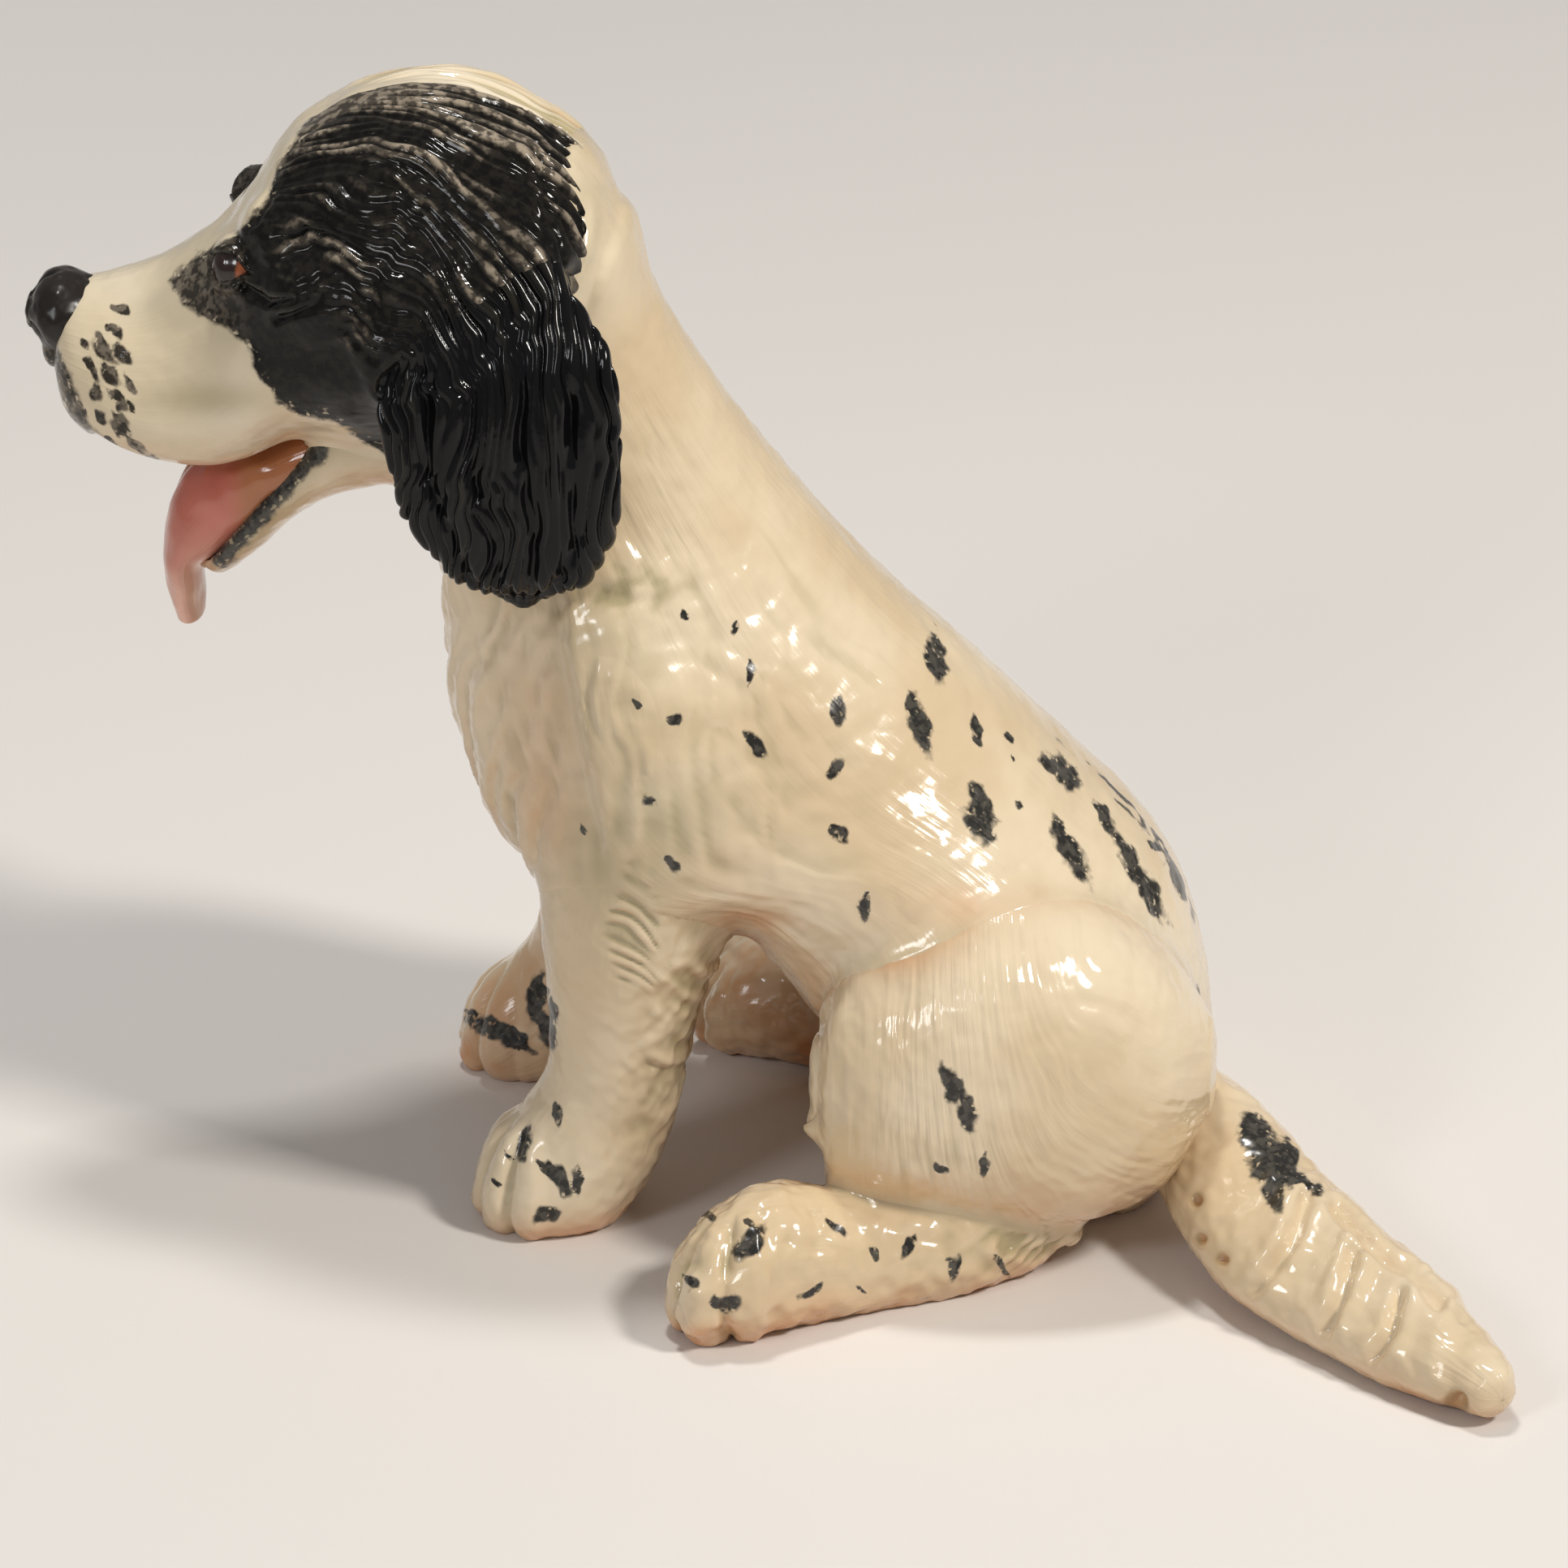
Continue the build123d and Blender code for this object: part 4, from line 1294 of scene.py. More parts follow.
@dataclass
class Jaw(Piece):
    """Dropped lower jaw with a dark lip. Rows run from the hinge to the tip."""

    node: str = "lower_jaw"
    rows: Rows = (
        (-80.0, 101.7, -76.0, 89.2, 0, 11.0, 0.60), (-88.0, 98.3, -85.0, 87.9, 0, 11.0, 0.62),
        (-94.0, 91.9, -91.0, 84.8, 0, 10.0, 0.64), (-98.8, 85.2, -96.3, 79.7, 0, 8.5, 0.64),
        (-101.8, 80.8, -100.0, 77.0, 0, 6.5, 0.60), (-103.0, 78.6, -102.0, 77.0, 0, 3.0))
    domes: tuple[float, float] = (3.0, 1.0)
    grid: tuple[int, int] = (150, 130)
    sink: float = 3.0
    lip: Line = ((394, 554), (362, 586), (332, 622), (298, 662), (273, 689))

    def model(self, skin: Skin) -> None:
        """Trough for the tongue."""
        reach = np.maximum(np.abs(skin.out).max(axis=1, keepdims=True), 2.0)
        floor = smooth(0.2, 0.7, np.cos(skin.turn)) * smooth(0.95, 0.6, np.abs(skin.out) / reach)
        skin.push(-3.0 * floor * smooth(0.0, 6.0, skin.along))

    def paint(self, skin: Skin) -> dict[str, Array]:
        """Dark, ragged line of the lip along the jaw's rim."""
        values = super().paint(skin)
        line = line_distance(self.pixels(skin), self.lip, False)
        values["mask"] = 1.25 - line / PICTURE.pixels_per_mm
        values["groove"] = values["groove"] - 0.22 * np.exp(-(line / 24.0) ** 2)
        return values


@dataclass
class Tongue(Piece):
    """Tongue that lies on the jaw and hangs over its tip. Rows run from the throat to the tip."""

    node: str = "tongue"
    glaze: Glaze = Glaze.TONGUE
    rows: Rows = (
        (-82.5, 101.0, -80.0, 92.5, 0, 8.2), (-91.5, 97.6, -87.5, 88.5, 0, 9.6, 0.55),
        (-100.5, 93.3, -93.5, 84.0, 0, 9.0, 0.55), (-105.6, 87.8, -99.0, 79.8, 0, 7.6),
        (-107.6, 81.4, -102.6, 77.6, 0, 6.3), (-107.3, 75.5, -103.0, 74.2, 0, 5.5),
        (-106.4, 71.0, -103.0, 70.9, 0, 4.2))
    domes: tuple[float, float] = (2.0, 0.9)
    grid: tuple[int, int] = (150, 110)
    unevenness: float = 0.0
    sink: float = 1.5

    def model(self, skin: Skin) -> None:
        """Furrow down the middle of the tongue."""
        skin.comb(-0.7 * np.exp(-(skin.points[..., 1] / 1.3) ** 2) * smooth(0.0, 0.6, np.cos(skin.turn)))
        skin.push(0.18 * grain(skin.points, 2.6, 15))

    def paint(self, skin: Skin) -> dict[str, Array]:
        """Pale tip, and a rusty tint in the corner of the mouth."""
        values = super().paint(skin)
        values["groove"] = values["groove"] - 0.45 * smooth(-100.5, -93.5, skin.points[..., 0])
        values["tint_and_shade"] = smooth(86.0, 73.0, skin.points[..., 2])
        return values


@dataclass
class Nose(Piece):
    """Nose pad with its nostrils and the cleft between them."""

    node: str = "nose"
    glaze: Glaze = Glaze.NOSE
    rows: Rows = (
        (-122.3, 110.2, -122.3, 106.2, 0, 3.2), (-120.6, 112.6, -120.6, 104.2, 0, 5.5),
        (-118.4, 113.2, -118.4, 103.6, 0, 6.2), (-115.6, 112.3, -115.6, 104.6, 0, 5.2))
    domes: tuple[float, float] = (0.7, 1.6)
    grid: tuple[int, int] = (110, 100)
    unevenness: float = 0.0
    sink: float = 1.0

    def model(self, skin: Skin) -> None:
        """Nostrils on both sides, the cleft and the leathery grain."""
        p = skin.points
        shape = -0.5 * np.exp(-(p[..., 1] / 0.6) ** 2) * smooth(-118.0, -121.0, p[..., 0])
        for side in Side:
            shape -= 1.5 * hill(p, (-121.4, side.value * 3.4, 106.6), (1.7, 1.5, 1.3))
        shape += 0.12 * grain(p, 1.1, 5)
        skin.comb(shape)


@dataclass
class Eye(Piece):
    """Dark eyeball with a rusty corner, seen through the slit of its lids."""

    node: str = "left_eye"
    glaze: Glaze = Glaze.EYE
    side: Side = Side.LEFT
    radius: float = 3.4
    grid: tuple[int, int] = (70, 70)
    unevenness: float = 0.0
    sink: float = 0.5

    def __post_init__(self) -> None:
        """Take the eye's place from the frame: a middle section, and one before and behind it."""
        x, y, z = node_box(self.node)[0]
        r, flat = self.radius, self.radius * 0.4
        near = r * 0.917
        self.rows = tuple((x + way * flat, z + tall, x + way * flat, z - tall, y, tall)
                          for way, tall in ((-1, near), (0, r), (1, near)))
        self.domes = (r - flat, r - flat)

    def paint(self, skin: Skin) -> dict[str, Array]:
        """Dark ball with a rusty corner at the back of the slit."""
        values = super().paint(skin)
        ray = unit(skin.points - node_box(self.node)[0])
        corner = ray @ unit(np.array([0.85, self.side.value * 0.5, 0.0]))
        values["tint_and_shade"] = 1.6 * smooth(0.36, 0.52, corner)
        values["combing"] = 0 * values["tint_and_shade"]
        return values


@dataclass
class Ear(Piece):
    """Long hanging ear of wavy strands. Rows run from the root down: front point, then back point."""

    node: str = "left_ear"
    glaze: Glaze = Glaze.BLACK
    side: Side = Side.LEFT
    rows: Rows = (
        (-76.1, 129.9, -66.1, 131.2, 9.5, 1.4), (-78.2, 124.3, -63.1, 126.0, 15.8, 2.5),
        (-79.3, 118.2, -58.0, 120.8, 19.4, 3.1), (-79.6, 109.0, -52.6, 113.4, 23.5, 3.5),
        (-78.5, 100.3, -51.5, 103.4, 25.1, 3.8), (-76.1, 93.4, -52.0, 93.8, 25.5, 3.8),
        (-71.5, 87.7, -55.0, 87.7, 25.1, 3.4), (-66.1, 84.7, -60.1, 84.7, 24.4, 2.0))
    lock_shares: tuple[float, ...] = (-0.60, -0.20, 0.20, 0.60)
    lock_heights: tuple[float, ...] = (84.7, 87.7, 93.6, 101.9, 111.2, 119.5, 125.1)
    lock_sways: tuple[float, ...] = (0.0, 0.06, -0.04, 0.06, -0.05, 0.06, 0.0)
    hair_seed: ClassVar[int] = 21
    forward: float = 0.0
    combing: float = 0.0
    unevenness: float = 0.0
    domes: tuple[float, float] = (1.5, 1.2)
    grid: tuple[int, int] = (250, 380)
    sink: float = 1.6

    def form_at(self, shares: Array) -> Form:
        """Sections of the ear, on its own side."""
        return Form.from_pairs(sided(self.rows, self.side, self.forward), shares, self.domes)

    def model(self, skin: Skin) -> None:
        """Five locks between winding grooves, wavy strands over them, and a ragged fringe."""
        p = skin.points
        reach = np.maximum(np.abs(skin.rise).max(axis=1, keepdims=True), 3.0)
        share = skin.rise / reach
        sway = np.interp(p[..., 2], self.lock_heights, self.lock_sways)
        outer = smooth(-0.2, 0.3, self.side.value * skin.normals()[..., 1])
        cut = sum(np.exp(-((share - place - sway) * reach / 0.85) ** 2) for place in self.lock_shares)
        ends = smooth(skin.along.max(), skin.along.max() - 0.25, skin.along)
        skin.push(0.35 * smooth(92.0, 87.0, p[..., 2]))
        low = smooth(116.0, 108.0, p[..., 2])
        skin.comb((1.15 * even_hair(p, self.hair_seed) - 0.8 * cut * outer * low) * ends)

    def joint_share(self, skin: Skin) -> Array:
        """Only the root takes part in the joint with the head."""
        return smooth(111.0, 118.0, skin.points[..., 2])


def hair(points: Array, seed: int) -> Array:
    """Height of the combed hair of skull and ears: arcs about a place in front of the ear, then straight down.

    The coordinate across the strands is the distance from that place in the side view, with the crown unrolled.

    Args:
        points: Places, in millimetres.
        seed: Seed of the pattern.

    Returns:
        Height in millimetres, about zero on average.
    """
    dx = points[..., 0] + 86.0
    dz = points[..., 2] - 108.0 + 0.75 * np.maximum(14.0 - np.abs(points[..., 1]), 0.0)
    across = np.where(dz > 0, np.hypot(dx, dz), dx)
    along = np.where(dz > 0, -24.0 * np.arctan2(np.maximum(dz, 0), dx), -dz)
    wave = 0.55 * np.sin(along / 2.9 + across / 3.3) + 0.6 * noise(across / 7, along / 9, 0.0, seed + 2)
    stray = noise(across / 4, along / 6, 0.0, seed + 4)
    wave = wave + 0.20 * np.sin(along / 1.15 + across / 1.9 + 4.0 * stray) + 0.5 * stray
    fine = strands(across + wave, along, 1.35, 0.9, seed) - STRAND_MEAN
    bold = strands(across + wave, along, 3.6, 0.8, seed + 7) - STRAND_MEAN
    return 0.85 * fine + 0.55 * bold


def even_hair(points: Array, seed: int) -> Array:
    """Height of the hair, averaged round the ring, so that no groove falls between two places.

    The weights are those of a tent: 4 at the place, then 3, 2 and 1 at quarters of the way to each neighbour.

    Args:
        points: Grid of places, in millimetres.
        seed: Seed of the pattern.

    Returns:
        Height in millimetres, about zero on average.
    """
    total = 4 * hair(points, seed)
    for turn in (-1, 1):
        step = np.roll(points, turn, axis=1) - points
        total = total + sum((4 - k) * hair(points + step * (k / 4), seed) for k in (1, 2, 3))
    return total / 16


@dataclass
class Foreleg(Piece):
    """Shoulder, leg and paw. Rows run from the shoulder to the toes: front point, then back point."""

    node: str = "left_foreleg"
    side: Side = Side.LEFT
    step: float = 0.0
    spread: float = 0.0
    height: float = 86.0
    rows: Rows = (
        (-58.4, 86.0, -46.2, 81.7, 12.9, 7.8), (-61.4, 77.4, -38.3, 67.9, 14.6, 11.8),
        (-61.0, 66.2, -34.0, 54.2, 15.4, 12.3), (-60.7, 54.2, -37.9, 44.7, 15.1, 11.5),
        (-62.4, 41.3, -41.6, 34.4, 14.8, 10.4), (-61.7, 29.2, -44.5, 24.9, 14.6, 8.6),
        (-62.0, 19.8, -46.5, 14.6, 14.0, 8.0), (-64.7, 14.6, -49.5, 6.0, 14.0, 8.5),
        (-67.6, 11.2, -53.8, 0.0, 14.0, 9.1), (-69.6, 6.9, -60.1, -1.7, 14.0, 8.5),
        (-70.3, 2.6, -67.0, -0.9, 14.0, 5.0))
    domes: tuple[float, float] = (4.0, 0.8)
    grid: tuple[int, int] = (330, 190)
    sink: float = 4.0
    spots: Rows = SHOULDER_SPOTS + (
        (680, 1245, 14, 9, 75), (687, 1375, 14, 7, 85), (645, 1410, 20, 10, 110), (612, 1458, 7, 5, 60),
        (690, 1452, 22, 9, 70), (672, 1440, 16, 5, 60), (712, 1455, 18, 5, 80), (672, 1498, 18, 12, 150),
        (625, 1425, 8, 4, 60))
    pools: Rows = SHOULDER_POOLS + (
        (845, 1250, 40, 120, 0.12), (780, 1390, 60, 80, 0.06), (705, 1440, 14, 60, 0.10))
    far_spots: Rows = (
        (607, 1268, 34, 15, 18), (640, 1282, 20, 10, 40), (662, 1232, 30, 12, 85), (672, 1270, 22, 12, 75),
        (580, 1250, 9, 6, 40))

    def form_at(self, shares: Array) -> Form:
        """Sections of the leg: the paw's step and spread fade out towards the shoulder."""
        rows: Rows = ()
        for row in self.rows:
            fade = 1 - row[1] / self.height
            rows += sided((row,), self.side, self.step * fade, -self.spread * fade)
        return Form.from_pairs(rows, shares, self.domes)

    def model(self, skin: Skin) -> None:
        """Toes, a combed shoulder, stacked crescents on the upper leg and lumpy feathering down the back.

        Args:
            skin: The leg's skin.
        """
        toes(skin, self.side, 0.0, 7.5, 15.0)
        p = skin.points
        outer = smooth(-0.1, 0.5, self.side.value * skin.normals()[..., 1])
        free = 1 - smooth(0.3, 0.85, skin.seam)
        pixels = self.pixels(skin)
        shoulder_step(skin, pixels)
        local = p[..., 0] + self.step * (1 - p[..., 2] / self.height)
        shoulder_strokes(skin, pixels)
        p = skin.points
        z = p[..., 2]
        side_view = np.stack([local, z], -1)
        tips = strands(local - 0.15 * z, z, 1.7, 1.4, 38) - STRAND_MEAN
        fringe = hill(side_view, (-48.0, 55.0), (9.0, 7.0))
        sweep = streaks(0.9 * local - 0.45 * z, z, 1.5, 6.0, 37)
        elbow = hill(side_view, (-42.5, 46.0), (6.5, 12.0)) * (1 - hill(pixels, *CRESCENTS))
        back = smooth(-0.1, 0.7, -np.cos(skin.turn)) * smooth(9.0, 16.0, z) * smooth(44.0, 34.0, z)
        tuft = grain(p, (1.7, 1.7, 2.4), 33) + 0.6 * grain(p, (1.0, 1.0, 1.3), 32)
        lock = streaks(0.9 * local + 0.5 * z, z, 1.6, 5.0, 31)
        heel = smooth(17.0, 7.0, z) * smooth(-58.0, -52.0, local) * tuft
        lumps = free * (0.34 * outer * elbow * sweep + back * (0.30 * lock + 0.26 * tuft) + 0.24 * heel)
        skin.push(0.65 * lumps)
        skin.comb(free * outer * 0.25 * fringe * tips + 0.35 * lumps)


def toes(skin: Skin, side: Side, splay_degrees: float, reach: float, height: float) -> None:
    """Part the toes of a paw: grooves that fan out from its middle, with a round lobe on each toe between them.

    Args:
        skin: Skin of the limb, whose path ends at the toes.
        side: The limb's side.
        splay_degrees: How far the paw is turned out.
        reach: Distance of the paw's middle behind its tip.
        height: Height of the paw.
    """
    p = skin.points
    tip = p[-1].mean(axis=0)
    a = np.radians(splay_degrees)
    ahead = np.array([-np.cos(a), side.value * np.sin(a)])
    offset = p[..., :2] - (tip[:2] - ahead * reach)
    run = offset @ ahead
    wide = side.value * (offset[..., 1] * -ahead[0] + offset[..., 0] * ahead[1])
    far = np.hypot(run, wide)
    angle = np.degrees(np.arctan2(wide, run))
    front = smooth(reach * 0.35, reach * 0.85, far) * smooth(height * 1.05, height * 0.6, p[..., 2])
    front = front * smooth(-1.0, 1.5, run)
    cut = sum(np.exp(-(np.radians(angle - line) * far / 0.65) ** 2) for line in (-46.0, -10.0, 26.0, 60.0))
    lobe = np.abs(np.cos(np.pi * (angle + 28.0) / 36.0))
    skin.push(front * (0.7 * lobe - 0.45 * cut))
    skin.comb(-0.16 * front * cut)


@dataclass
class Haunch(Piece):
    """Folded thigh. Rows run from the knee back: top point, then low point."""

    node: str = "left_haunch"
    side: Side = Side.LEFT
    tuck: float = 0.0
    rows: Rows = (
        (-29.0, 30.2, -29.0, 20.0, 26.0, 4.9), (-26.3, 37.2, -27.2, 11.2, 26.0, 9.0),
        (-19.1, 42.8, -20.0, 9.3, 24.9, 12.5), (-9.2, 46.5, -9.2, 7.4, 23.5, 14.5),
        (2.1, 45.1, 2.1, 6.5, 21.6, 14.1), (11.1, 38.1, 11.1, 10.2, 19.6, 11.5),
        (16.0, 30.2, 16.0, 18.1, 17.9, 5.9))
    domes: tuple[float, float] = (1.2, 1.0)
    grid: tuple[int, int] = (260, 250)
    sink: float = 5.0
    spots: Rows = (
        (1172, 1335, 24, 13, 70), (1190, 1372, 22, 12, 70), (1212, 1437, 14, 6, 110), (1160, 1440, 10, 5, 30))
    pools: Rows = ((1160, 1430, 70, 30, 0.10), (1040, 1330, 30, 80, 0.05))
    warm_shade_patches: Rows = ((1100, 1180, 90, 26, 0.25), (1080, 1450, 90, 26, 0.2))

    def form_at(self, shares: Array) -> Form:
        """Sections of the thigh, tucked forward on its own side."""
        return Form.from_pairs(sided(self.rows, self.side, self.tuck), shares, self.domes)

    def model(self, skin: Skin) -> None:
        """Combed strokes, upright at the knee and slanting at the back, and the knob of the knee."""
        p = skin.points
        slant = smooth(-22.0, 4.0, p[..., 0]) * 0.9
        across = p[..., 0] * np.cos(slant) + p[..., 2] * np.sin(slant)
        along = p[..., 2] * np.cos(slant) - p[..., 0] * np.sin(slant)
        skin.across, skin.lengthwise = across, along
        bend = 0.8 * np.sin(along / 3.2 + across / 6.0) * smooth(-12.0, 6.0, p[..., 0])
        stroke = streaks(across + bend, along, 0.75, 6.0, 41) + 0.5 * streaks(across + bend, along, 1.8, 9.0, 42)
        knee = hill(p * [1, self.side.value, 1], (-28.8 - self.tuck, 29.0, 20.2), (1.6, 2.6, 1.5))
        skin.push(1.9 * knee)
        skin.comb(0.085 * stroke * (1 - smooth(0.3, 1.0, skin.seam)))

    def paint(self, skin: Skin) -> dict[str, Array]:
        """Painted warm shade in the crease along the joint with the body."""
        values = super().paint(skin)
        crease = 0.45 * skin.seam ** 2 * smooth(14.0, 30.0, skin.points[..., 2])
        values["tint_and_shade"] = np.clip(values["tint_and_shade"] + crease, 0, 1)
        return values


@dataclass
class HindFoot(Piece):
    """Hind foot, flat on the ground. Rows run from the heel to the toes: top point, then low point."""

    node: str = "left_hind_foot"
    side: Side = Side.LEFT
    step: float = 0.0
    tuck: float = 0.0
    rows: Rows = (
        (-0.2, 9.0, -0.2, 3.0, 22.1, 4.0), (-5.0, 12.0, -4.2, 0.0, 23.6, 6.5),
        (-12.1, 12.5, -12.1, -1.0, 28.2, 7.0), (-20.9, 12.3, -20.9, -1.0, 32.4, 6.7),
        (-27.5, 14.6, -27.5, -1.0, 35.4, 7.8), (-34.1, 16.3, -34.5, -1.0, 38.3, 9.7),
        (-40.7, 13.3, -41.1, -0.8, 40.2, 9.2), (-44.2, 8.2, -44.2, 0.8, 40.9, 5.9))
    domes: tuple[float, float] = (2.0, 0.8)
    grid: tuple[int, int] = (220, 180)
    sink: float = 3.0
    spots: Rows = (
        (895, 1605, 17, 13, 30), (925, 1530, 22, 14, 150), (870, 1498, 10, 6, 40), (850, 1580, 12, 8, 30),
        (925, 1505, 8, 5, 40), (1030, 1510, 14, 7, 40), (1000, 1590, 16, 6, 150), (1075, 1545, 9, 5, 60),
        (1120, 1535, 15, 8, 110), (1175, 1560, 16, 8, 95), (1000, 1440, 10, 6, 100), (1140, 1480, 9, 6, 60),
        (1235, 1560, 16, 5, 60), (1060, 1590, 8, 4, 40))
    pools: Rows = ((1210, 1510, 80, 40, 0.10), (1010, 1455, 30, 20, 0.12), (870, 1560, 30, 50, 0.06))
    warm_shade_patches: Rows = ((1040, 1605, 130, 22, 0.25), (900, 1640, 60, 16, 0.3))

    def form_at(self, shares: Array) -> Form:
        """Sections of the foot, stepped and tucked on its own side."""
        return Form.from_pairs(sided(self.rows, self.side, self.step, self.tuck), shares, self.domes)

    def model(self, skin: Skin) -> None:
        """Toes, and lumpy feathering at the heel."""
        toes(skin, self.side, 24.0, 8.5, 18.0)
        p = skin.points
        heel = smooth(-12.0, -3.0, p[..., 0] + self.step) * smooth(1.0, 4.0, p[..., 2])
        spikes = strands(p[..., 2] * 0.8 - 0.6 * p[..., 0], p[..., 0], 1.5, 1.2, 47) - STRAND_MEAN
        lumps = grain(p, 2.2, 45) + 0.6 * grain(p, (1.2, 1.2, 1.6), 46)
        free = 1 - smooth(0.5, 1.0, skin.seam)
        skin.push(0.22 * lumps * free)
        skin.comb((0.10 * lumps + heel * (0.75 * spikes + 0.15 * lumps)) * free)


@dataclass
class Tail(Piece):
    """Feathered tail, a leaf that sweeps round on the ground. Rows run from the rump to the tip."""

    node: str = "tail"
    rows: Rows = (
        (8.0, -2.8, 13.5, 6.0, 6.0), (15.1, -11.8, 12.0, 7.5, 6.0), (20.6, -21.8, 9.5, 8.8, 6.0),
        (26.1, -31.4, 7.6, 9.0, 5.5), (34.0, -39.8, 5.9, 8.2, 5.0), (41.6, -48.7, 5.0, 6.8, 4.5),
        (47.1, -55.4, 4.5, 4.5, 4.0), (50.0, -58.8, 4.1, 2.8, 2.8))
    domes: tuple[float, float] = (3.0, 1.5)
    grid: tuple[int, int] = (360, 200)
    roll_degrees: float = -25.0
    gouges: tuple[Line, ...] = (
        ((1610, 1474), (1589, 1532), (1552, 1583), (1519, 1622)),
        ((1647, 1489), (1690, 1539), (1741, 1568), (1772, 1607)),
        ((1668, 1546), (1654, 1597), (1632, 1640)), ((1726, 1597), (1714, 1640), (1690, 1677)))
    pinholes: Line = ((1473, 1478), (1478, 1527), (1505, 1552))
    tip_hollow: tuple[float, float] = (1795, 1727)
    spots: Rows = (
        (1545, 1395, 26, 20, 60), (1560, 1425, 40, 26, 70), (1570, 1468, 26, 16, 80), (1608, 1455, 22, 8, 40),
        (1585, 1435, 26, 16, 70))
    rust: Array = field(default_factory=lambda: np.zeros(1), init=False)

    def form_at(self, shares: Array) -> Form:
        """Sections of the leaf, square to its path."""
        return Form.from_path(self.rows, shares, self.domes, self.roll_degrees)

    def model(self, skin: Skin) -> None:
        """Soft gouges across the leaf, pinholes along its near edge, and a knob with a hollow at the tip.

        Args:
            skin: The tail's skin.
        """
        p, normal = skin.points, skin.normals()
        pixels, scale = PICTURE.pixels(p), PICTURE.pixels_per_mm
        x, y = pixels[..., 0], pixels[..., 1]
        top = smooth(-0.1, 0.4, normal[..., 2])
        gouge = sum(drawn_groove(pixels, line, 1.0) - 0.55 * drawn_groove(pixels, line, 2.2) for line in self.gouges)
        pins = sum(hill(pixels, pin, (6.5, 6.5)) for pin in self.pinholes)
        lumps = grain(p, 3.4, 51) + 0.6 * grain(p, 1.5, 52)
        ridge = streaks((x + 0.5 * y) / scale, (y - 0.5 * x) / scale, 3.0, 12.0, 53) * smooth(20.0, 27.0, p[..., 0])
        knob = hill(p, (49.6, -58.2, 4.6), (3.0, 3.0, 4.0))
        hollow = hill(pixels, self.tip_hollow, (11.0, 11.0)) * smooth(0.2, -0.3, normal @ PICTURE.axes()[2])
        skin.push(0.7 * knob + top * (0.26 * lumps + 0.45 * ridge - 1.9 * gouge))
        skin.comb(-0.15 * top * gouge - 0.9 * top * pins - 1.6 * hollow)
        self.rust = np.clip(top * pins + hollow, 0, 1)

    def paint(self, skin: Skin) -> dict[str, Array]:
        """Bare clay in the pinholes and in the hollow at the tip."""
        values = super().paint(skin)
        values["tint_and_shade"] = np.clip(values["tint_and_shade"] + 1.5 * self.rust, 0, 1)
        return values


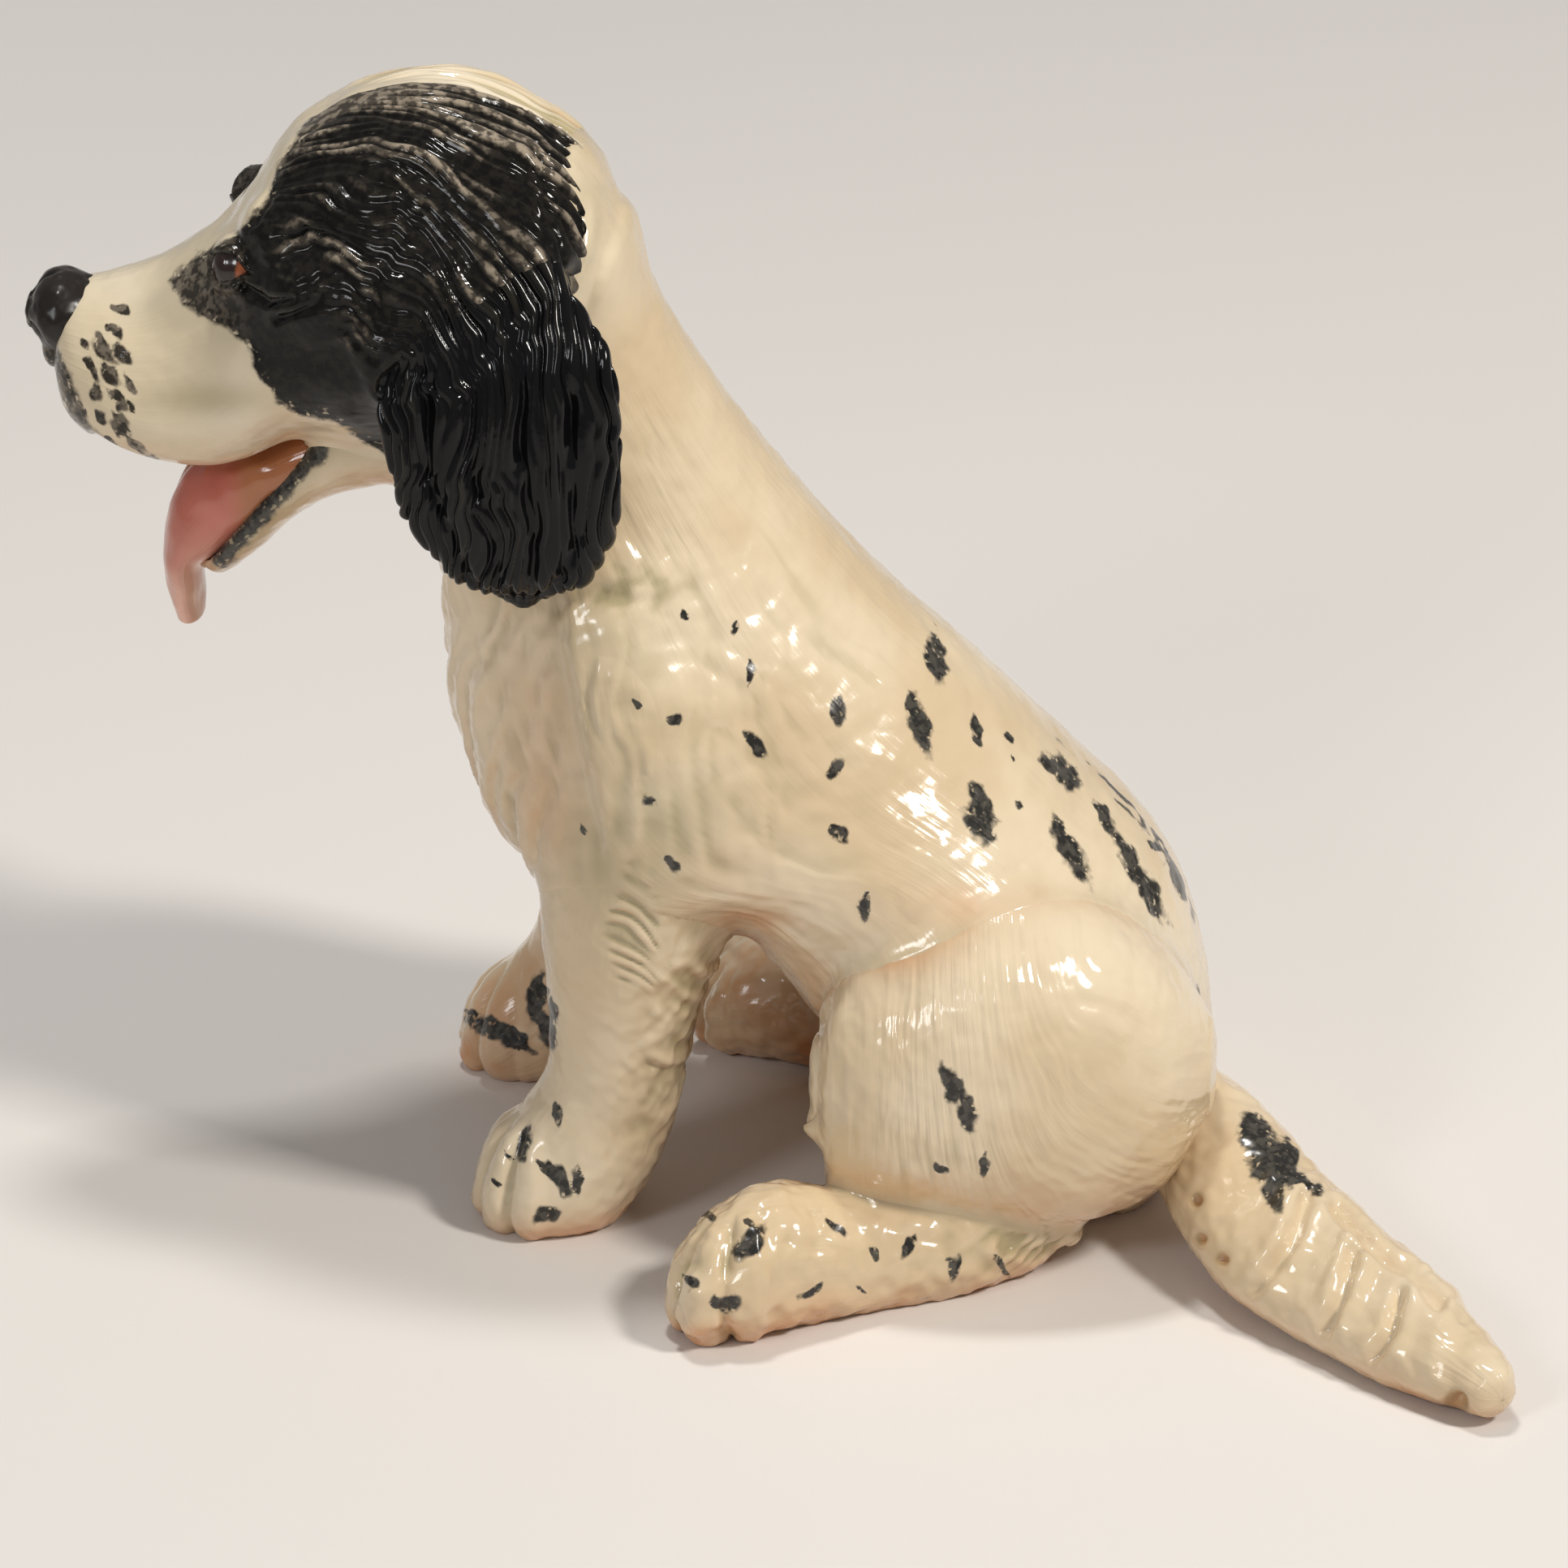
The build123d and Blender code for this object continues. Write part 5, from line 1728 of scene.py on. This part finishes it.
@dataclass
class Studio:
    """Pale sweep, soft lamps and the camera."""

    floor_half: float = 3.0
    floor_front: float = -3.0
    sweep_start: float = 0.75
    sweep_rise: float = 1.6
    floor_colour: Tone = (0.80, 0.76, 0.72)
    floor_drift: float = 0.97
    air_colour: Tone = (0.95, 0.97, 1.0)
    air_strength: float = 0.22
    lamps: tuple[tuple[str, Place, float, float, Tone], ...] = (
        ("key_lamp", (0.75, -0.45, 0.95), 10.0, 0.18, (1.0, 0.96, 0.90)),
        ("top_lamp", (-0.1, 0.1, 1.1), 4.2, 0.13, (1.0, 0.99, 0.97)),
        ("front_lamp", (-0.7, -1.0, 0.8), 3.5, 0.30, (0.97, 0.98, 1.0)))
    lamp_aim: Place = (-0.03, 0.0, 0.06)

    def backdrop(self) -> None:
        """Floor that runs back level and then curves up: depth = start + r sin(t), height = r (1 - cos(t))."""
        t = np.linspace(0, np.pi / 2, 40)
        depth = np.concatenate([[self.floor_front], self.sweep_start + self.sweep_rise * np.sin(t)])
        height = np.concatenate([[0.0], self.sweep_rise * (1 - np.cos(t))])
        x = np.array([-self.floor_half, self.floor_half])
        places = np.stack(np.broadcast_arrays(x[None], depth[:, None], height[:, None]), -1)
        index = np.arange(len(depth) * 2).reshape(-1, 2)
        faces = np.stack([index[:-1, 0], index[:-1, 1], index[1:, 1], index[1:, 0]], -1)
        mesh = bpy.data.meshes.new("studio_sweep")
        mesh.from_pydata(places.reshape(-1, 3).tolist(), [], faces.tolist())
        mesh.polygons.foreach_set("use_smooth", np.ones(len(faces), bool))
        material = bpy.data.materials.new("studio_paper")
        material.use_nodes = True
        n = Nodes(material.node_tree)
        shader = material.node_tree.nodes["Principled BSDF"]
        shader.inputs["Roughness"].default_value = 0.6
        darker = (*(c * self.floor_drift for c in self.floor_colour), 1.0)
        tone = n.blend(n.ease(n.speckle(3.0), 0.3, 0.7), (*self.floor_colour, 1.0), darker)
        n.link(tone, shader.inputs["Base Color"])
        mesh.materials.append(material)
        made = bpy.data.objects.new("studio_sweep", mesh)
        bpy.context.scene.collection.objects.link(made)

    def lamp(self, name: str, place: Place, watts: float, size: float, colour: Tone) -> None:
        """Square soft lamp that looks at the puppy.

        Args:
            name: Name of the lamp.
            place: Where it hangs, in metres.
            watts: Its power.
            size: Length of its side.
            colour: Its colour.
        """
        light = bpy.data.lights.new(name, "AREA")
        light.energy, light.size, light.color = watts, size, colour
        made = bpy.data.objects.new(name, light)
        look = unit(np.array(self.lamp_aim) - np.array(place))
        across = unit(np.cross(look, [0.0, 0.0, 1.0]))
        turn = np.stack([across, np.cross(across, look), -look], axis=1)
        made.matrix_world = Matrix.Translation(place) @ Matrix(turn.tolist()).to_4x4()
        bpy.context.scene.collection.objects.link(made)

    def camera(self) -> None:
        """Camera of the photograph's view."""
        right, up, into = PICTURE.axes()
        data = bpy.data.cameras.new("picture_camera")
        data.sensor_width = 36.0
        data.lens = data.sensor_width * PICTURE.distance * PICTURE.pixels_per_mm / PICTURE.size
        data.clip_start, data.clip_end = 0.01, 20.0
        made = bpy.data.objects.new("picture_camera", data)
        place = (PICTURE.target() - into * PICTURE.distance) * MM
        turn = np.stack([right, up, -into], axis=1)
        made.matrix_world = Matrix.Translation(place.tolist()) @ Matrix(turn.tolist()).to_4x4()
        bpy.context.scene.collection.objects.link(made)
        bpy.context.scene.camera = made

    def build(self) -> None:
        """Set the stage."""
        self.backdrop()
        for lamp in self.lamps:
            self.lamp(*lamp)
        world = bpy.data.worlds.new("studio_air")
        world.use_nodes = True
        air = world.node_tree.nodes["Background"].inputs
        air[0].default_value, air[1].default_value = (*self.air_colour, 1.0), self.air_strength
        bpy.context.scene.world = world
        bpy.context.scene.view_settings.view_transform = "Standard"
        self.camera()


def main() -> None:
    """Build the puppy piece by piece, then the studio round it."""
    logging.basicConfig(level=logging.INFO)
    groups = Groups(pooled_glaze_group(), combing_group(), brush_group())
    glazes = {glaze: finish.material(groups) for glaze, finish in FINISHES.items()}
    pieces: dict[str, Piece] = {piece.node: piece for piece in (
        Torso(), Head(), Jaw(), Tongue(), Nose(), Eye(), Eye(node="right_eye", side=Side.RIGHT),
        Ear(), Ear(node="right_ear", side=Side.RIGHT, forward=6.0),
        Foreleg(), Foreleg(node="right_foreleg", side=Side.RIGHT, step=6.0, spread=14.0),
        Haunch(), Haunch(node="right_haunch", side=Side.RIGHT, tuck=6.0),
        HindFoot(), HindFoot(node="right_hind_foot", side=Side.RIGHT, step=3.0, tuck=6.0), Tail())}
    joints: tuple[tuple[str, str, float, float], ...] = (
        ("torso", "head", 7.0, 3.0), ("torso", "left_foreleg", 4.5, 2.0), ("torso", "right_foreleg", 4.5, 2.0),
        ("torso", "left_haunch", 5.0, 0.3), ("torso", "right_haunch", 5.0, 0.3), ("torso", "tail", 3.0, 1.0),
        ("torso", "lower_jaw", 6.0, 1.0), ("head", "lower_jaw", 5.0, 1.0), ("head", "left_ear", 7.0, 1.0),
        ("head", "right_ear", 7.0, 1.0), ("left_haunch", "left_hind_foot", 3.0, 0.5),
        ("right_haunch", "right_hind_foot", 3.0, 0.5))
    forms = {node: piece.form() for node, piece in pieces.items()}
    for node, piece in pieces.items():
        met = [(forms[b if a == node else a], reach, lead if a == node else -lead)
               for a, b, reach, lead in joints if node in (a, b)]
        piece.build(met, glazes[piece.glaze])
    Studio().build()


if __name__ == "__main__":
    main()
